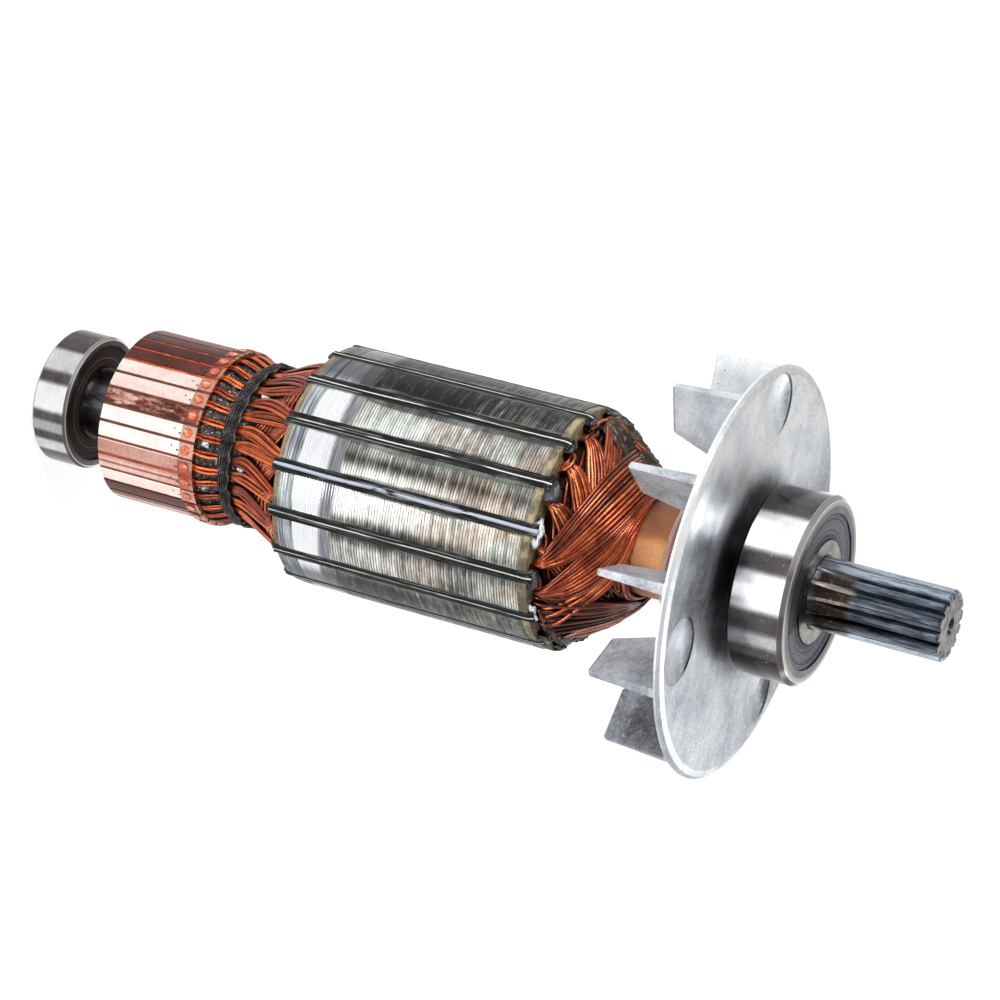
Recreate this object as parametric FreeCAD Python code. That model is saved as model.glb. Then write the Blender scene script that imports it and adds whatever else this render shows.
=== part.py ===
import FreeCAD, Part
import math
import os

# Armature of a universal motor: commutator, wound core, fan and two sealed ball bearings on
# one shaft that ends in a cut spline. Millimetres, +Z along the shaft, z = 0 on the end face
# of the rear bearing, on which the armature stands. Angles are about +Z, from +X.

Vector = FreeCAD.Vector
AXIS = Vector(0, 0, 1)

# Fits
press = 0.01             # between a pressed-on piece and its seat
seat = 0.02              # between pieces that only lie against each other
ball_play = 0.04         # between a ball and its raceway
running = 0.12           # between a seal lip and the ring it runs on

# Shaft
shaft_d = 12.0
rear_journal_d = 9.0
rear_end_recess = 0.4    # the shaft ends this far inside the rear bearing
end_chamfer = 0.4
centre_hole_d = 3.0
centre_pilot_d = 1.4
centre_pilot_depth = 3.2

# Spline cut in the shaft's front end
teeth = 14
teeth_phase = 19.3
root_d = 9.2
gap_root_w = 0.56
gap_flank_w = 0.98
gap_tip_w = 1.36
flank_height = 0.95      # straight part of a tooth's flank, above the root
tip_height = 0.36        # rounded part above the flank
cutter_d = 44.0          # the cutter's diameter gives the gaps their run-out

# Rear bearing, 9 x 24 x 7
rear_outer_d = 24.0
rear_width = 7.0
rear_ball_d = 3.97
rear_chamfer = 0.45
rear_rim = 1.6           # outer ring's rim outside its seals
rear_land = 2.1          # inner ring's rim inside the seals' lips

# Front bearing, 12 x 32 x 10
front_outer_d = 32.0
front_width = 10.0
front_ball_d = 5.95
front_chamfer = 0.75
front_rim = 2.8
front_land = 2.7

# Both bearings
balls = 7
shoulder_share = 0.55    # of a ball's radius that a ring's shoulder keeps from the pitch circle
seal_recess = 0.3
seal_t = 0.7
seal_rib = 0.18
bore_chamfer = 0.35
cage_t = 1.0
cage_wall = 0.35         # cage left above and below a ball
pocket_play = 0.06

# Commutator
bars = 32
bar_phase = -1.7
collar_length = 9.1      # bare shaft between the rear bearing and the commutator
track_length = 16.75
track_d = 30.7
riser_length = 2.85
riser_step = 0.3         # the riser stands this far above the brush track
slit_w = 0.5
mica_undercut = 0.7
bar_depth = 4.15         # of the copper below the track, down to the moulded hub
bar_hook = 1.1           # the bars' ends are undercut this much, so the hub holds them
bar_edge = 0.25
bush_d = 16.4
hub_inset = 0.9          # the moulded hub ends this far inside the bars
plug_d = 1.7
plug_proud = 0.12
plug_depth = 1.2
plug_from_end = 1.6      # centre of a wire's fused end, from the front of the riser

# Leads from the commutator to the core
lead_span = 19.2         # riser to rear end plate
wire_d = 0.75
lead_rise_inset = 0.9    # the leads' middle inside the riser's face, at the riser
lead_waist_inset = 2.03  # and under the binding cord
lead_slot_r = 17.7       # radius of their middle where they enter the slots
near_lead_end = -2.6     # angle there of a slot's own leads
far_lead_end = 13.5      # and of the leads that come from the bar after it
cord_from_riser = 4.7
cord_strand_d = 0.55
cord_strands = 5

# Core
slots = 16
core_d = 42.0
stack_length = 45.4
rear_plate_t = 1.0
front_plate_t = 1.5
plate_step = 0.15        # the end plates stand this far inside the core's diameter
slot_mouth_w = 2.2
slot_lip = 0.9
tooth_w = 3.4
slot_bottom_d = 23.6
liner_t = 0.25
wedge_t = 0.85
wedge_sunk = 0.2
wedge_front = 1.7        # how far the wedges stick out of the end plates
wedge_rear = 0.6
coil_end = 0.5

# Windings outside the slots
bundles = 16
strands_per_bundle = 3
bundle_ridge = 0.55
strand_ridge = 0.3
front_winding_height = 12.9
rear_winding_height = 10.2
winding_slot_r = 18.7
front_top_r = 9.4
rear_top_r = 12.6
front_twist = -78.0      # degrees a bundle turns from the slots to the top
rear_twist = 40.0

# Insulating tube on the shaft
tube_d = 16.1
tube_behind_core = 7.5   # it starts this far behind the rear end plate
winding_to_hub = 6.4     # front winding to fan hub: bare tube

# Fan
fan_d = 69.8
fan_depth = 11.4         # hub face to the flat front face
fan_hub_d = 22.0
fan_rim_t = 1.2
fan_rim_round = 0.8      # how far the rim's edge rounds back
fan_rim_round_r = 1.6
fan_dish_d = 50.0        # the hub's cone runs out here
fan_dish_t = 4.4         # disc thickness where the cone runs out
fan_boss_d = 17.0
fan_boss_length = 2.3    # flat front face to front bearing
blades = 12
blade_phase = 3.6
blade_height = 11.9      # disc's rear face to blade tip
blade_tip_t = 1.1
blade_root_t = 1.8
blade_tip_in = 24.9      # inner radius at the tip
blade_root_in = 19.6     # inner radius at the root
blade_tip_inset = 1.0    # tip's outer edge inside the rim
blade_root_inset = 0.45
blade_tip_bevel = 0.35
dimple_d = 11.4
dimple_depth = 1.1
dimple_places = ((28.3, -80.4), (27.9, 25.6), (27.0, 128.0))
spline_length = 22.5     # front bearing to shaft end

# Heights of the seats along the shaft
z_collar = rear_width
z_commutator = z_collar + collar_length
z_riser = z_commutator + track_length
z_riser_end = z_riser + riser_length
z_plate_rear = z_riser_end + lead_span
z_stack = z_plate_rear + rear_plate_t
z_stack_end = z_stack + stack_length
z_plate_front = z_stack_end + front_plate_t
z_hub = z_plate_front + front_winding_height + winding_to_hub
z_fan_face = z_hub + fan_depth
z_front_bearing = z_fan_face + fan_boss_length
z_front_bearing_end = z_front_bearing + front_width
z_end = z_front_bearing_end + spline_length
z_cord = z_riser_end + cord_from_riser
cord_width = cord_strands * cord_strand_d

# Radii that follow the commutator
track_r = track_d / 2
riser_r = track_r + riser_step
bar_root_r = track_r - bar_depth
lead_rise_r = riser_r - lead_rise_inset
lead_waist_r = riser_r - lead_waist_inset


def at(radius, degrees, z):
    """A point given by its radius, its angle about the shaft and its height."""
    a = math.radians(degrees)
    return Vector(radius * math.cos(a), radius * math.sin(a), z)


def polygon(points):
    return Part.makePolygon(list(points) + [points[0]])


def turned(points):
    """A turned solid from its half section, a list of (radius, z)."""
    half = Part.Face(polygon([Vector(r, 0, z) for r, z in points]))
    return half.revolve(Vector(0, 0, 0), AXIS, 360)


def ring(inner_r, outer_r, z0, z1):
    return turned([(inner_r, z0), (outer_r, z0), (outer_r, z1), (inner_r, z1)])


def spun(shape, degrees):
    copy = shape.copy()
    copy.rotate(Vector(0, 0, 0), AXIS, degrees)
    return copy


def around(shape, count, phase=0.0):
    """Copies of a shape, drawn at angle 0, spread evenly about the shaft."""
    return [spun(shape, phase + i * 360.0 / count) for i in range(count)]


def prism(outline, z0, z1):
    """A straight solid from an outline in x and y."""
    face = Part.Face(polygon([Vector(x, y, z0) for x, y in outline]))
    return face.extrude(Vector(0, 0, z1 - z0))


def save(name, shape):
    os.makedirs("parts", exist_ok=True)
    shape.exportStep("parts/" + name + ".step")


# Shaft with its spline
def spline_gap():
    """What the cutter takes out for one gap: a straight groove and its run-out."""
    root_r = root_d / 2
    flank_r = root_r + flank_height
    tip_r = flank_r + tip_height
    out_r = shaft_d / 2 + 1.0
    out_w = gap_tip_w + 2 * (out_r - tip_r)
    half = [(root_r, gap_root_w / 2), (flank_r, gap_flank_w / 2),
            (tip_r, gap_tip_w / 2), (out_r, out_w / 2)]
    outline = [(r, -w) for r, w in half] + [(r, w) for r, w in reversed(half)]
    depth = shaft_d / 2 - root_r
    cutter_r = cutter_d / 2
    lean = math.acos(1 - depth / cutter_r)
    z_full = z_front_bearing_end + cutter_r * math.sin(lean)
    face = Part.Face(polygon([Vector(x, y, z_full) for x, y in outline]))
    straight = face.extrude(Vector(0, 0, z_end - z_full + 1.0))
    run_out = face.revolve(Vector(root_r + cutter_r, 0, z_full), Vector(0, -1, 0),
                           math.degrees(lean) + 12)
    return straight.fuse(run_out)


def centre_hole(z, inward):
    """A lathe centre's countersink and pilot, cut into an end at z."""
    sink = (centre_hole_d - centre_pilot_d) / 2 / math.tan(math.radians(30))
    deep = sink + centre_pilot_depth
    return turned([(0, z - inward), (centre_hole_d / 2, z - inward), (centre_hole_d / 2, z),
                   (centre_pilot_d / 2, z + inward * sink),
                   (centre_pilot_d / 2, z + inward * deep), (0, z + inward * deep)])


def shaft():
    r = shaft_d / 2
    journal_r = rear_journal_d / 2
    z0 = rear_end_recess
    body = turned([(0, z0), (journal_r - end_chamfer, z0), (journal_r, z0 + end_chamfer),
                   (journal_r, z_collar), (r, z_collar), (r, z_end - end_chamfer),
                   (r - end_chamfer, z_end), (0, z_end)])
    gaps = around(spline_gap(), teeth, teeth_phase + 180.0 / teeth)
    return body.cut(gaps + [centre_hole(z0, 1), centre_hole(z_end, -1)])


# Ball bearings
def bearing(name, z0, bore_d, outer_d, width, ball_d, chamfer, rim, land):
    """A sealed deep-groove bearing whose lower face is at z0."""
    ball_r = ball_d / 2
    pitch_r = (bore_d + outer_d) / 4
    inner_r = bore_d / 2 + press
    outer_r = outer_d / 2
    seat_r = outer_r - rim
    land_r = bore_d / 2 + land
    high_in = pitch_r - shoulder_share * ball_r
    high_out = pitch_r + shoulder_share * ball_r
    step = seal_recess + seal_t
    z1 = z0 + width
    middle = z0 + width / 2
    groove = Part.makeTorus(pitch_r, ball_r + ball_play, Vector(0, 0, middle), AXIS)
    outer = turned([(seat_r, z0), (outer_r - chamfer, z0), (outer_r, z0 + chamfer),
                    (outer_r, z1 - chamfer), (outer_r - chamfer, z1), (seat_r, z1),
                    (seat_r, z1 - step), (high_out, z1 - step), (high_out, z0 + step),
                    (seat_r, z0 + step)])
    inner = turned([(inner_r + bore_chamfer, z0), (land_r, z0), (land_r, z0 + step + running),
                    (high_in, z0 + step + running), (high_in, z1 - step - running),
                    (land_r, z1 - step - running), (land_r, z1), (inner_r + bore_chamfer, z1),
                    (inner_r, z1 - bore_chamfer), (inner_r, z0 + bore_chamfer)])
    save(name + "_outer_ring", outer.cut(groove))
    save(name + "_inner_ring", inner.cut(groove))
    ball = Part.makeSphere(ball_r, Vector(pitch_r, 0, middle))
    save(name + "_balls", Part.makeCompound(around(ball, balls)))
    pocket = Part.makeCylinder(ball_r + pocket_play, 2 * cage_t,
                               Vector(pitch_r - cage_t, 0, middle), Vector(1, 0, 0))
    half = ball_r + cage_wall
    cage = ring(pitch_r - cage_t / 2, pitch_r + cage_t / 2, middle - half, middle + half)
    save(name + "_cage", cage.cut(around(pocket, balls)))
    lip_r = land_r + running
    rib_r = seat_r - 0.25 * (seat_r - lip_r)
    low = seal_recess
    rear = turned([(lip_r, z0 + low), (lip_r + 0.6, z0 + low), (lip_r + 0.8, z0 + low + seal_rib),
                   (rib_r - 0.3, z0 + low + seal_rib), (rib_r, z0 + low), (seat_r - press, z0 + low),
                   (seat_r - press, z0 + step), (lip_r, z0 + step)])
    front = rear.mirror(Vector(0, 0, middle), AXIS)
    save(name + "_rear_seal", rear)
    save(name + "_front_seal", front)


# Commutator
def slit_walls(width, inner_r):
    """Thin radial walls on the lines between the bars."""
    out_r = riser_r + 1.0
    wall = Part.makeBox(out_r - inner_r, width, z_riser_end - z_commutator + 2,
                        Vector(inner_r, -width / 2, z_commutator - 1))
    return around(wall, bars, bar_phase + 180.0 / bars)


def bar_section(shrink):
    """Half section of the copper, or of the mica set back from its outside by shrink."""
    track = track_r - shrink
    riser = riser_r - shrink
    z0 = z_commutator
    z1 = z_riser_end
    return [(bar_root_r, z0 + bar_hook), (bar_root_r + bar_hook, z0), (track - bar_edge, z0),
            (track, z0 + bar_edge), (track, z_riser), (riser, z_riser), (riser, z1),
            (bar_root_r + bar_hook, z1), (bar_root_r, z1 - bar_hook)]


def plug(extra):
    """The fused end of a bar's wires, or with extra > 0 the bore that it fills."""
    bottom = riser_r - plug_depth - extra
    top = riser_r + plug_proud + 10 * extra
    return Part.makeCylinder(plug_d / 2 + extra, top - bottom,
                             Vector(bottom, 0, z_riser_end - plug_from_end), Vector(1, 0, 0))


def commutator():
    copper = turned(bar_section(0.0))
    bores = around(plug(press), bars, bar_phase)
    save("commutator_bars", copper.cut(slit_walls(slit_w, bar_root_r - 1.0)).cut(bores))
    mica = turned(bar_section(mica_undercut))
    strips = mica.common(Part.makeCompound(slit_walls(slit_w - 2 * press, bar_root_r - 1.0)))
    save("commutator_mica", strips)
    save("fused_wire_ends", Part.makeCompound(around(plug(0.0), bars, bar_phase)))
    z0 = z_commutator + hub_inset
    z1 = z_riser_end - hub_inset
    bush_r = bush_d / 2
    under = bar_root_r - seat
    hub = turned([(bush_r + press, z0), (under + bar_hook - hub_inset, z0),
                  (under, z_commutator + bar_hook), (under, z_riser_end - bar_hook),
                  (under + bar_hook - hub_inset, z1), (bush_r + press, z1)])
    save("commutator_hub", hub)
    bush = ring(shaft_d / 2 + press, bush_r, z_commutator, z_riser_end)
    save("commutator_bush", bush)


# Leads, binding cord and resin
def lead(start, finish):
    """A pair of wires side by side, from a bar's angle to a slot's angle."""
    w = wire_d / 2
    outline = [(2 * w, 0), (1.5 * w, 0.85 * w), (0.55 * w, 0.85 * w), (0, 0.45 * w),
               (-0.55 * w, 0.85 * w), (-1.5 * w, 0.85 * w), (-2 * w, 0),
               (-1.5 * w, -0.85 * w), (1.5 * w, -0.85 * w)]
    z_waist = z_cord + cord_width
    rise = z_plate_rear - z_waist
    stations = [(z_riser_end + seat, lead_rise_r, 0.0),
                (z_riser_end + 0.45 * cord_from_riser, lead_rise_r - 0.35, 0.0),
                (z_cord, lead_waist_r, 0.0),
                (z_waist, lead_waist_r, 0.08),
                (z_waist + 0.3 * rise, lead_waist_r + 0.14 * (lead_slot_r - lead_waist_r), 0.35),
                (z_waist + 0.65 * rise, lead_waist_r + 0.55 * (lead_slot_r - lead_waist_r), 0.75),
                (z_plate_rear - coil_end - seat, lead_slot_r, 1.0)]
    wires = []
    for z, r, share in stations:
        angle = start + share * (finish - start)
        middle = at(r, angle, z)
        across = at(1, angle + 90, 0)
        out = at(1, angle, 0)
        wires.append(polygon([middle + across * a + out * b for a, b in outline]))
    return Part.makeLoft(wires, True, True)


def leads():
    step = 360.0 / slots
    near = lead(bar_phase, near_lead_end)
    far = lead(bar_phase + step / 2, far_lead_end)
    return Part.makeCompound(around(near, slots) + around(far, slots))


def lead_resin():
    """Set resin that fills the space between the shaft and the leads."""
    under = lead_waist_r - wire_d / 2 - seat
    core_r = tube_d / 2 + seat
    z1 = z_plate_rear - rear_winding_height - seat
    z_tube = z_plate_rear - tube_behind_core - 4 * seat
    return turned([(shaft_d / 2 + seat, z_riser_end + seat),
                   (lead_rise_r - wire_d / 2 - seat, z_riser_end + seat),
                   (under, z_cord - 1.0), (under, z_cord + cord_width), (under - 0.5, z1),
                   (core_r, z1), (core_r, z_tube), (shaft_d / 2 + seat, z_tube)])


def binding_cord():
    """Turns of cord side by side round the leads, scalloped like a lay of strands."""
    inside = lead_waist_r + wire_d / 2 + seat
    r = cord_strand_d / 2
    outside = inside + r
    section = [(inside, z_cord), (inside, z_cord + cord_width)]
    for i in reversed(range(cord_strands)):
        low = z_cord + i * cord_strand_d
        section += [(outside, low + 0.98 * cord_strand_d), (outside + 0.8 * r, low + 0.75 * cord_strand_d),
                    (outside + r, low + 0.5 * cord_strand_d), (outside + 0.8 * r, low + 0.25 * cord_strand_d),
                    (outside, low + 0.02 * cord_strand_d)]
    return turned(section)


# Core
half_pitch = math.radians(180.0 / slots)
slot_lip_r = core_d / 2 - slot_lip
wedge_under_r = slot_lip_r - wedge_t


def slot_wall(x, inset):
    """Half width of a slot at x, drawn in by inset; the teeth between slots are parallel."""
    return (x * math.sin(half_pitch) - tooth_w / 2) / math.cos(half_pitch) - inset


def slot_bottom(inset):
    """One side of a slot's narrow end, from its middle outwards."""
    x = slot_bottom_d / 2 + inset
    return [(x, 0.45 * slot_wall(x, inset)), (x + 0.35, slot_wall(x + 0.35, inset))]


def both_sides(side):
    return side + [(x, -y) for x, y in reversed(side)]


def slot_below_wedge(inset, top):
    """Outline of a slot at angle 0 up to x = top, drawn in by inset."""
    return both_sides(slot_bottom(inset) + [(top, slot_wall(top, inset))])


def slotted_disc(radius, z0, z1):
    """Core outline, with slots open at the rim and a bore for the insulating tube."""
    disc = ring(tube_d / 2 + press, radius, z0, z1)
    wide = slot_lip_r - 0.5
    side = slot_bottom(0.0) + [(wide, slot_wall(wide, 0.0)), (slot_lip_r, slot_mouth_w / 2),
                               (core_d / 2 + 1.0, slot_mouth_w / 2)]
    opening = prism(both_sides(side), z0 - 1, z1 + 1)
    return disc.cut(around(opening, slots))


def core():
    r = core_d / 2
    save("core_laminations", slotted_disc(r, z_stack, z_stack_end))
    save("rear_end_plate", slotted_disc(r - plate_step, z_plate_rear, z_stack))
    save("front_end_plate", slotted_disc(r - plate_step, z_stack_end, z_plate_front))
    outside = prism(slot_below_wedge(press, wedge_under_r - seat), z_plate_rear, z_plate_front)
    inside = prism(slot_below_wedge(liner_t, wedge_under_r + 1), z_plate_rear - 1, z_plate_front + 1)
    save("slot_liners", Part.makeCompound(around(outside.cut(inside), slots)))
    coil = prism(slot_below_wedge(liner_t + seat, wedge_under_r - seat),
                 z_plate_rear - coil_end, z_plate_front + coil_end)
    save("slot_coils", Part.makeCompound(around(coil, slots)))
    wide = slot_lip_r - 0.5 - seat
    side = [(wedge_under_r, slot_wall(wedge_under_r, seat)), (wide, slot_wall(wide, seat)),
            (slot_lip_r - seat, slot_mouth_w / 2 - seat), (r - wedge_sunk, slot_mouth_w / 2 - seat)]
    wedge = prism(both_sides(side), z_plate_rear - wedge_rear, z_plate_front + wedge_front)
    save("slot_wedges", Part.makeCompound(around(wedge, slots)))


# Windings outside the slots
def faceted(rings):
    """A solid of flat triangles between rings of points, closed at both ends."""
    faces = [Part.Face(polygon(rings[0])), Part.Face(polygon(rings[-1]))]
    for low, high in zip(rings, rings[1:]):
        for i, point in enumerate(low):
            after = low[i - 1]
            faces.append(Part.Face(polygon([point, after, high[i - 1]])))
            faces.append(Part.Face(polygon([point, high[i - 1], high[i]])))
    return Part.makeSolid(Part.makeShell(faces))


def ridged(stations, twist, bore_r):
    """Bundles of wire laid round the shaft: a ridged body through its heights."""
    count = bundles * strands_per_bundle
    rings = []
    for z, r, share in stations:
        points = []
        fade = min(1.0, r / 16.0)
        for i in range(2 * count):
            angle = i * 180.0 / count
            bundle = bundle_ridge * math.cos(math.radians(angle * bundles))
            strand = strand_ridge if i % 2 == 0 else 0.0
            points.append(at(r - bundle_ridge + fade * (bundle + strand), angle + share * twist, z))
        rings.append(points)
    z0, z1 = stations[0][0], stations[-1][0]
    return faceted(rings).cut(Part.makeCylinder(bore_r, z1 - z0 + 2, Vector(0, 0, z0 - 1)))


def front_winding():
    z0 = z_plate_front + coil_end + seat
    h = z_plate_front + front_winding_height - z0
    top = front_top_r
    swell = winding_slot_r - top
    shares = ((0.0, 1.0), (0.11, 1.03), (0.26, 0.83), (0.44, 0.66), (0.63, 0.5), (0.82, 0.3), (1.0, 0.0))
    stations = [(z0 + a * h, top + b * swell, a) for a, b in shares]
    return ridged(stations, front_twist, tube_d / 2 + seat)


def rear_winding():
    z1 = z_plate_rear - coil_end - seat
    h = rear_winding_height - coil_end
    top = rear_top_r
    swell = lead_slot_r - wire_d - top
    shares = ((1.0, 0.0), (0.8, 0.14), (0.55, 0.34), (0.25, 0.7), (0.0, 0.92))
    stations = [(z1 - a * h, top + b * swell, a) for a, b in shares]
    return ridged(stations, rear_twist, tube_d / 2 + seat)


# Fan
def blade():
    """A straight radial blade that thins towards its bevelled tip."""
    z_root = z_fan_face - fan_rim_t + 0.3
    z_tip = z_fan_face - fan_rim_t - blade_height
    tip_outer = fan_d / 2 - blade_tip_inset
    bevel = blade_tip_bevel
    wires = []
    for z, inner, outer, t in ((z_root, blade_root_in, fan_d / 2 - blade_root_inset, blade_root_t),
                               (z_tip + bevel, blade_tip_in, tip_outer, blade_tip_t),
                               (z_tip, blade_tip_in + bevel, tip_outer - bevel, blade_tip_t - bevel)):
        wires.append(polygon([Vector(inner, -t / 2, z), Vector(outer, -t / 2, z),
                              Vector(outer, t / 2, z), Vector(inner, t / 2, z)]))
    return Part.makeLoft(wires, True, True)


def fan():
    r = fan_d / 2
    z1 = z_fan_face
    bore_r = shaft_d / 2 + press
    body = turned([(bore_r, z_hub), (fan_hub_d / 2, z_hub), (fan_hub_d / 2 + 0.6, z_hub + 0.8),
                   (fan_dish_d / 2, z1 - fan_dish_t), (r - 4.0, z1 - fan_rim_t - 0.4),
                   (r, z1 - fan_rim_t), (r, z1 - fan_rim_round),
                   (r - 0.3 * fan_rim_round_r, z1 - 0.35 * fan_rim_round),
                   (r - fan_rim_round_r, z1), (fan_boss_d / 2, z1),
                   (fan_boss_d / 2, z_front_bearing), (bore_r, z_front_bearing)])
    body = body.fuse(around(blade(), blades, blade_phase))
    cutter_r = (dimple_d ** 2 / 4 + dimple_depth ** 2) / (2 * dimple_depth)
    for place_r, degrees in dimple_places:
        middle = at(place_r, degrees, z1 + cutter_r - dimple_depth)
        body = body.cut(Part.makeSphere(cutter_r, middle))
    return body.removeSplitter()


save("shaft", shaft())
bearing("rear_bearing", 0.0, rear_journal_d, rear_outer_d, rear_width, rear_ball_d,
        rear_chamfer, rear_rim, rear_land)
bearing("front_bearing", z_front_bearing, shaft_d, front_outer_d, front_width, front_ball_d,
        front_chamfer, front_rim, front_land)
commutator()
save("lead_wires", leads())
save("lead_resin", lead_resin())
save("binding_cord", binding_cord())
core()
save("front_end_winding", front_winding())
save("rear_end_winding", rear_winding())
save("insulating_tube", ring(shaft_d / 2 + press, tube_d / 2, z_plate_rear - tube_behind_core, z_hub))
save("fan", fan())
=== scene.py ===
import math
import random

import bmesh
import bpy
from mathutils import Matrix, Vector, noise


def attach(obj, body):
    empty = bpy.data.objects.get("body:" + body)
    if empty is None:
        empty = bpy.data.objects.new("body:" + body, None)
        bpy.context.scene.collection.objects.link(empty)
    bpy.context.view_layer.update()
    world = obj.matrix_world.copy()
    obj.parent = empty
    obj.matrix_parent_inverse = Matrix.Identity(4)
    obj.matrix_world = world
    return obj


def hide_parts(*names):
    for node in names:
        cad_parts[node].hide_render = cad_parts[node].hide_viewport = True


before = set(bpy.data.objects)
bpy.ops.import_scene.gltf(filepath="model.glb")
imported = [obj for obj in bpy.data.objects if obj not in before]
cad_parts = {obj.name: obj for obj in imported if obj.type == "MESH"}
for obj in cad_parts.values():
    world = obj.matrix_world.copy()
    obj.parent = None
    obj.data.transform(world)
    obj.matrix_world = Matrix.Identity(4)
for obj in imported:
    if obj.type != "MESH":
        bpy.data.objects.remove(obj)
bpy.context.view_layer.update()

# Looks of a motor armature: enamelled wire, resin, tarnished copper, ground steel and cast alloy.
# Lengths below are in millimetres and angles in degrees about the shaft; MM turns them to metres.

MM = 0.001
rng = random.Random(11)

# Camera
CAMERA_AT = (511.20, -54.83, 311.03)
CAMERA_RIGHT = (-0.410869, -0.211787, 0.886754)
CAMERA_UP = (0.0, -0.972643, -0.232300)
CAMERA_BACK = (0.911694, -0.095445, 0.399629)
LENS = 119.31
SENSOR = 36.0

# Places along the shaft
Z_COLLAR = 7.0
Z_BARS = 16.1
Z_RISER = 32.85
Z_RISER_END = 35.7
Z_CORD = 40.4
Z_PLATE_REAR = 54.9
Z_STACK = 55.9
Z_BAND = 58.6            # a band that was ground smooth
Z_BAND_END = 66.8
Z_PLATE_FRONT = 102.8
Z_BLADE_TIPS = 120.45
Z_DISC = 130.8
Z_FAN_FACE = 133.5
Z_FRONT_BEARING = 135.8
Z_SPLINE = 145.8
Z_END = 168.3

SLOTS = 16
SLOT_STEP = 360.0 / SLOTS
BARS = 32
BAR_STEP = 360.0 / BARS
BAR_PHASE = -1.7
WIRE_D = 0.72
LEAD_D = 0.66
CORD_D = 0.54
CORD_TURNS = 6
CORD_RING_R = 14.32
SHEET = 0.515
RISER_R = 15.75
DIMPLES = ((28.3, -80.4), (27.9, 25.6), (27.0, 128.0))

# Painted reflections: stripes of light and dark along the shaft, painted onto a metal's colour: (middle,
# half width, softness, strength).
# The first three are in degrees.
FRONT_RING_REFLECTIONS = ((-34, 10, 6, 0.62), (3, 8, 6, 0.8), (33, 2, 6, 0.4), (60, 10, 6, -0.3), (96, 9, 10, 0.55),
          (-92, 5, 9, 0.5), (122, 6, 8, 0.5), (150, 8, 9, 0.8), (-122, 7, 8, 0.7), (-154, 10, 9, 0.8))
REAR_RING_REFLECTIONS = ((-34, 8, 6, 0.5), (0, 9, 6, 0.66), (26, 3, 4, 0.36), (46, 4, 5, 0.5), (-80, 8, 8, -0.3),
               (122, 6, 8, 0.5), (150, 8, 9, 0.8), (-122, 7, 8, 0.6), (-154, 10, 9, 0.7))
CORE_REFLECTIONS = ((-31, 5, 9, 0.6), (-17, 2, 4, 0.3), (4, 9, 7, 0.72), (36, 4, 8, 0.5), (84, 9, 13, -0.14),
             (-56, 8, 7, -0.26), (-81, 9, 6, -0.32), (59, 4, 6, -0.1),
             (118, 9, 9, 0.5), (150, 8, 12, 0.7), (-124, 9, 9, 0.55), (-156, 9, 11, 0.6))
COPPER_REFLECTIONS = ((-30, 9.5, 2.2, 0.66), (4.5, 11.3, 1.2, 0.76), (27.5, 11, 1.5, 0.4), (43.5, 4.6, 2.5, 0.68),
               (66, 4, 4, 0.12), (-63, 9, 4, -0.12), (33.5, 3, 2, 0.12), (78, 7, 6, 0.62),
               (-92, 3, 7, 0.5), (108, 9, 4, 0.4), (136, 11, 3, 0.66),
               (163, 6, 3, 0.4), (-120, 7, 5, 0.6), (-151, 13, 4, 0.68))


# Materials
def srgb(r, g, b):
    """A colour from 0 to 255 a channel, as the eye reads it, for a shader socket."""
    out = []
    for value in (r, g, b):
        value /= 255.0
        out.append(value / 12.92 if value <= 0.04045 else ((value + 0.055) / 1.055) ** 2.4)
    return (out[0], out[1], out[2], 1.0)


def at(radius, degrees, z):
    a = math.radians(degrees)
    return Vector((radius * math.cos(a), radius * math.sin(a), z))


def add_node(tree, kind, inputs=(), **settings):
    """A node with its settings made, and its inputs given as numbers or linked."""
    node = tree.nodes.new(kind)
    for key, value in settings.items():
        setattr(node, key, value)
    for key, value in dict(inputs).items():
        value = getattr(value, "socket", value)
        if isinstance(value, bpy.types.NodeSocket):
            tree.links.new(value, node.inputs[key])
        else:
            node.inputs[key].default_value = value
    return node


def operator(operation, swapped=False):
    def method(self, other):
        a, b = (other, self) if swapped else (self, other)
        return self.paint.math(operation, a, b)
    return method


class Value:
    """What a node gives, so that shader sums can be written as sums."""

    __add__, __radd__ = operator("ADD"), operator("ADD", True)
    __sub__, __rsub__ = operator("SUBTRACT"), operator("SUBTRACT", True)
    __mul__, __rmul__ = operator("MULTIPLY"), operator("MULTIPLY", True)
    __truediv__ = operator("DIVIDE")

    def __init__(self, paint, socket):
        self.paint, self.socket = paint, socket

    def __abs__(self):
        return self.paint.math("ABSOLUTE", self)


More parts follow.
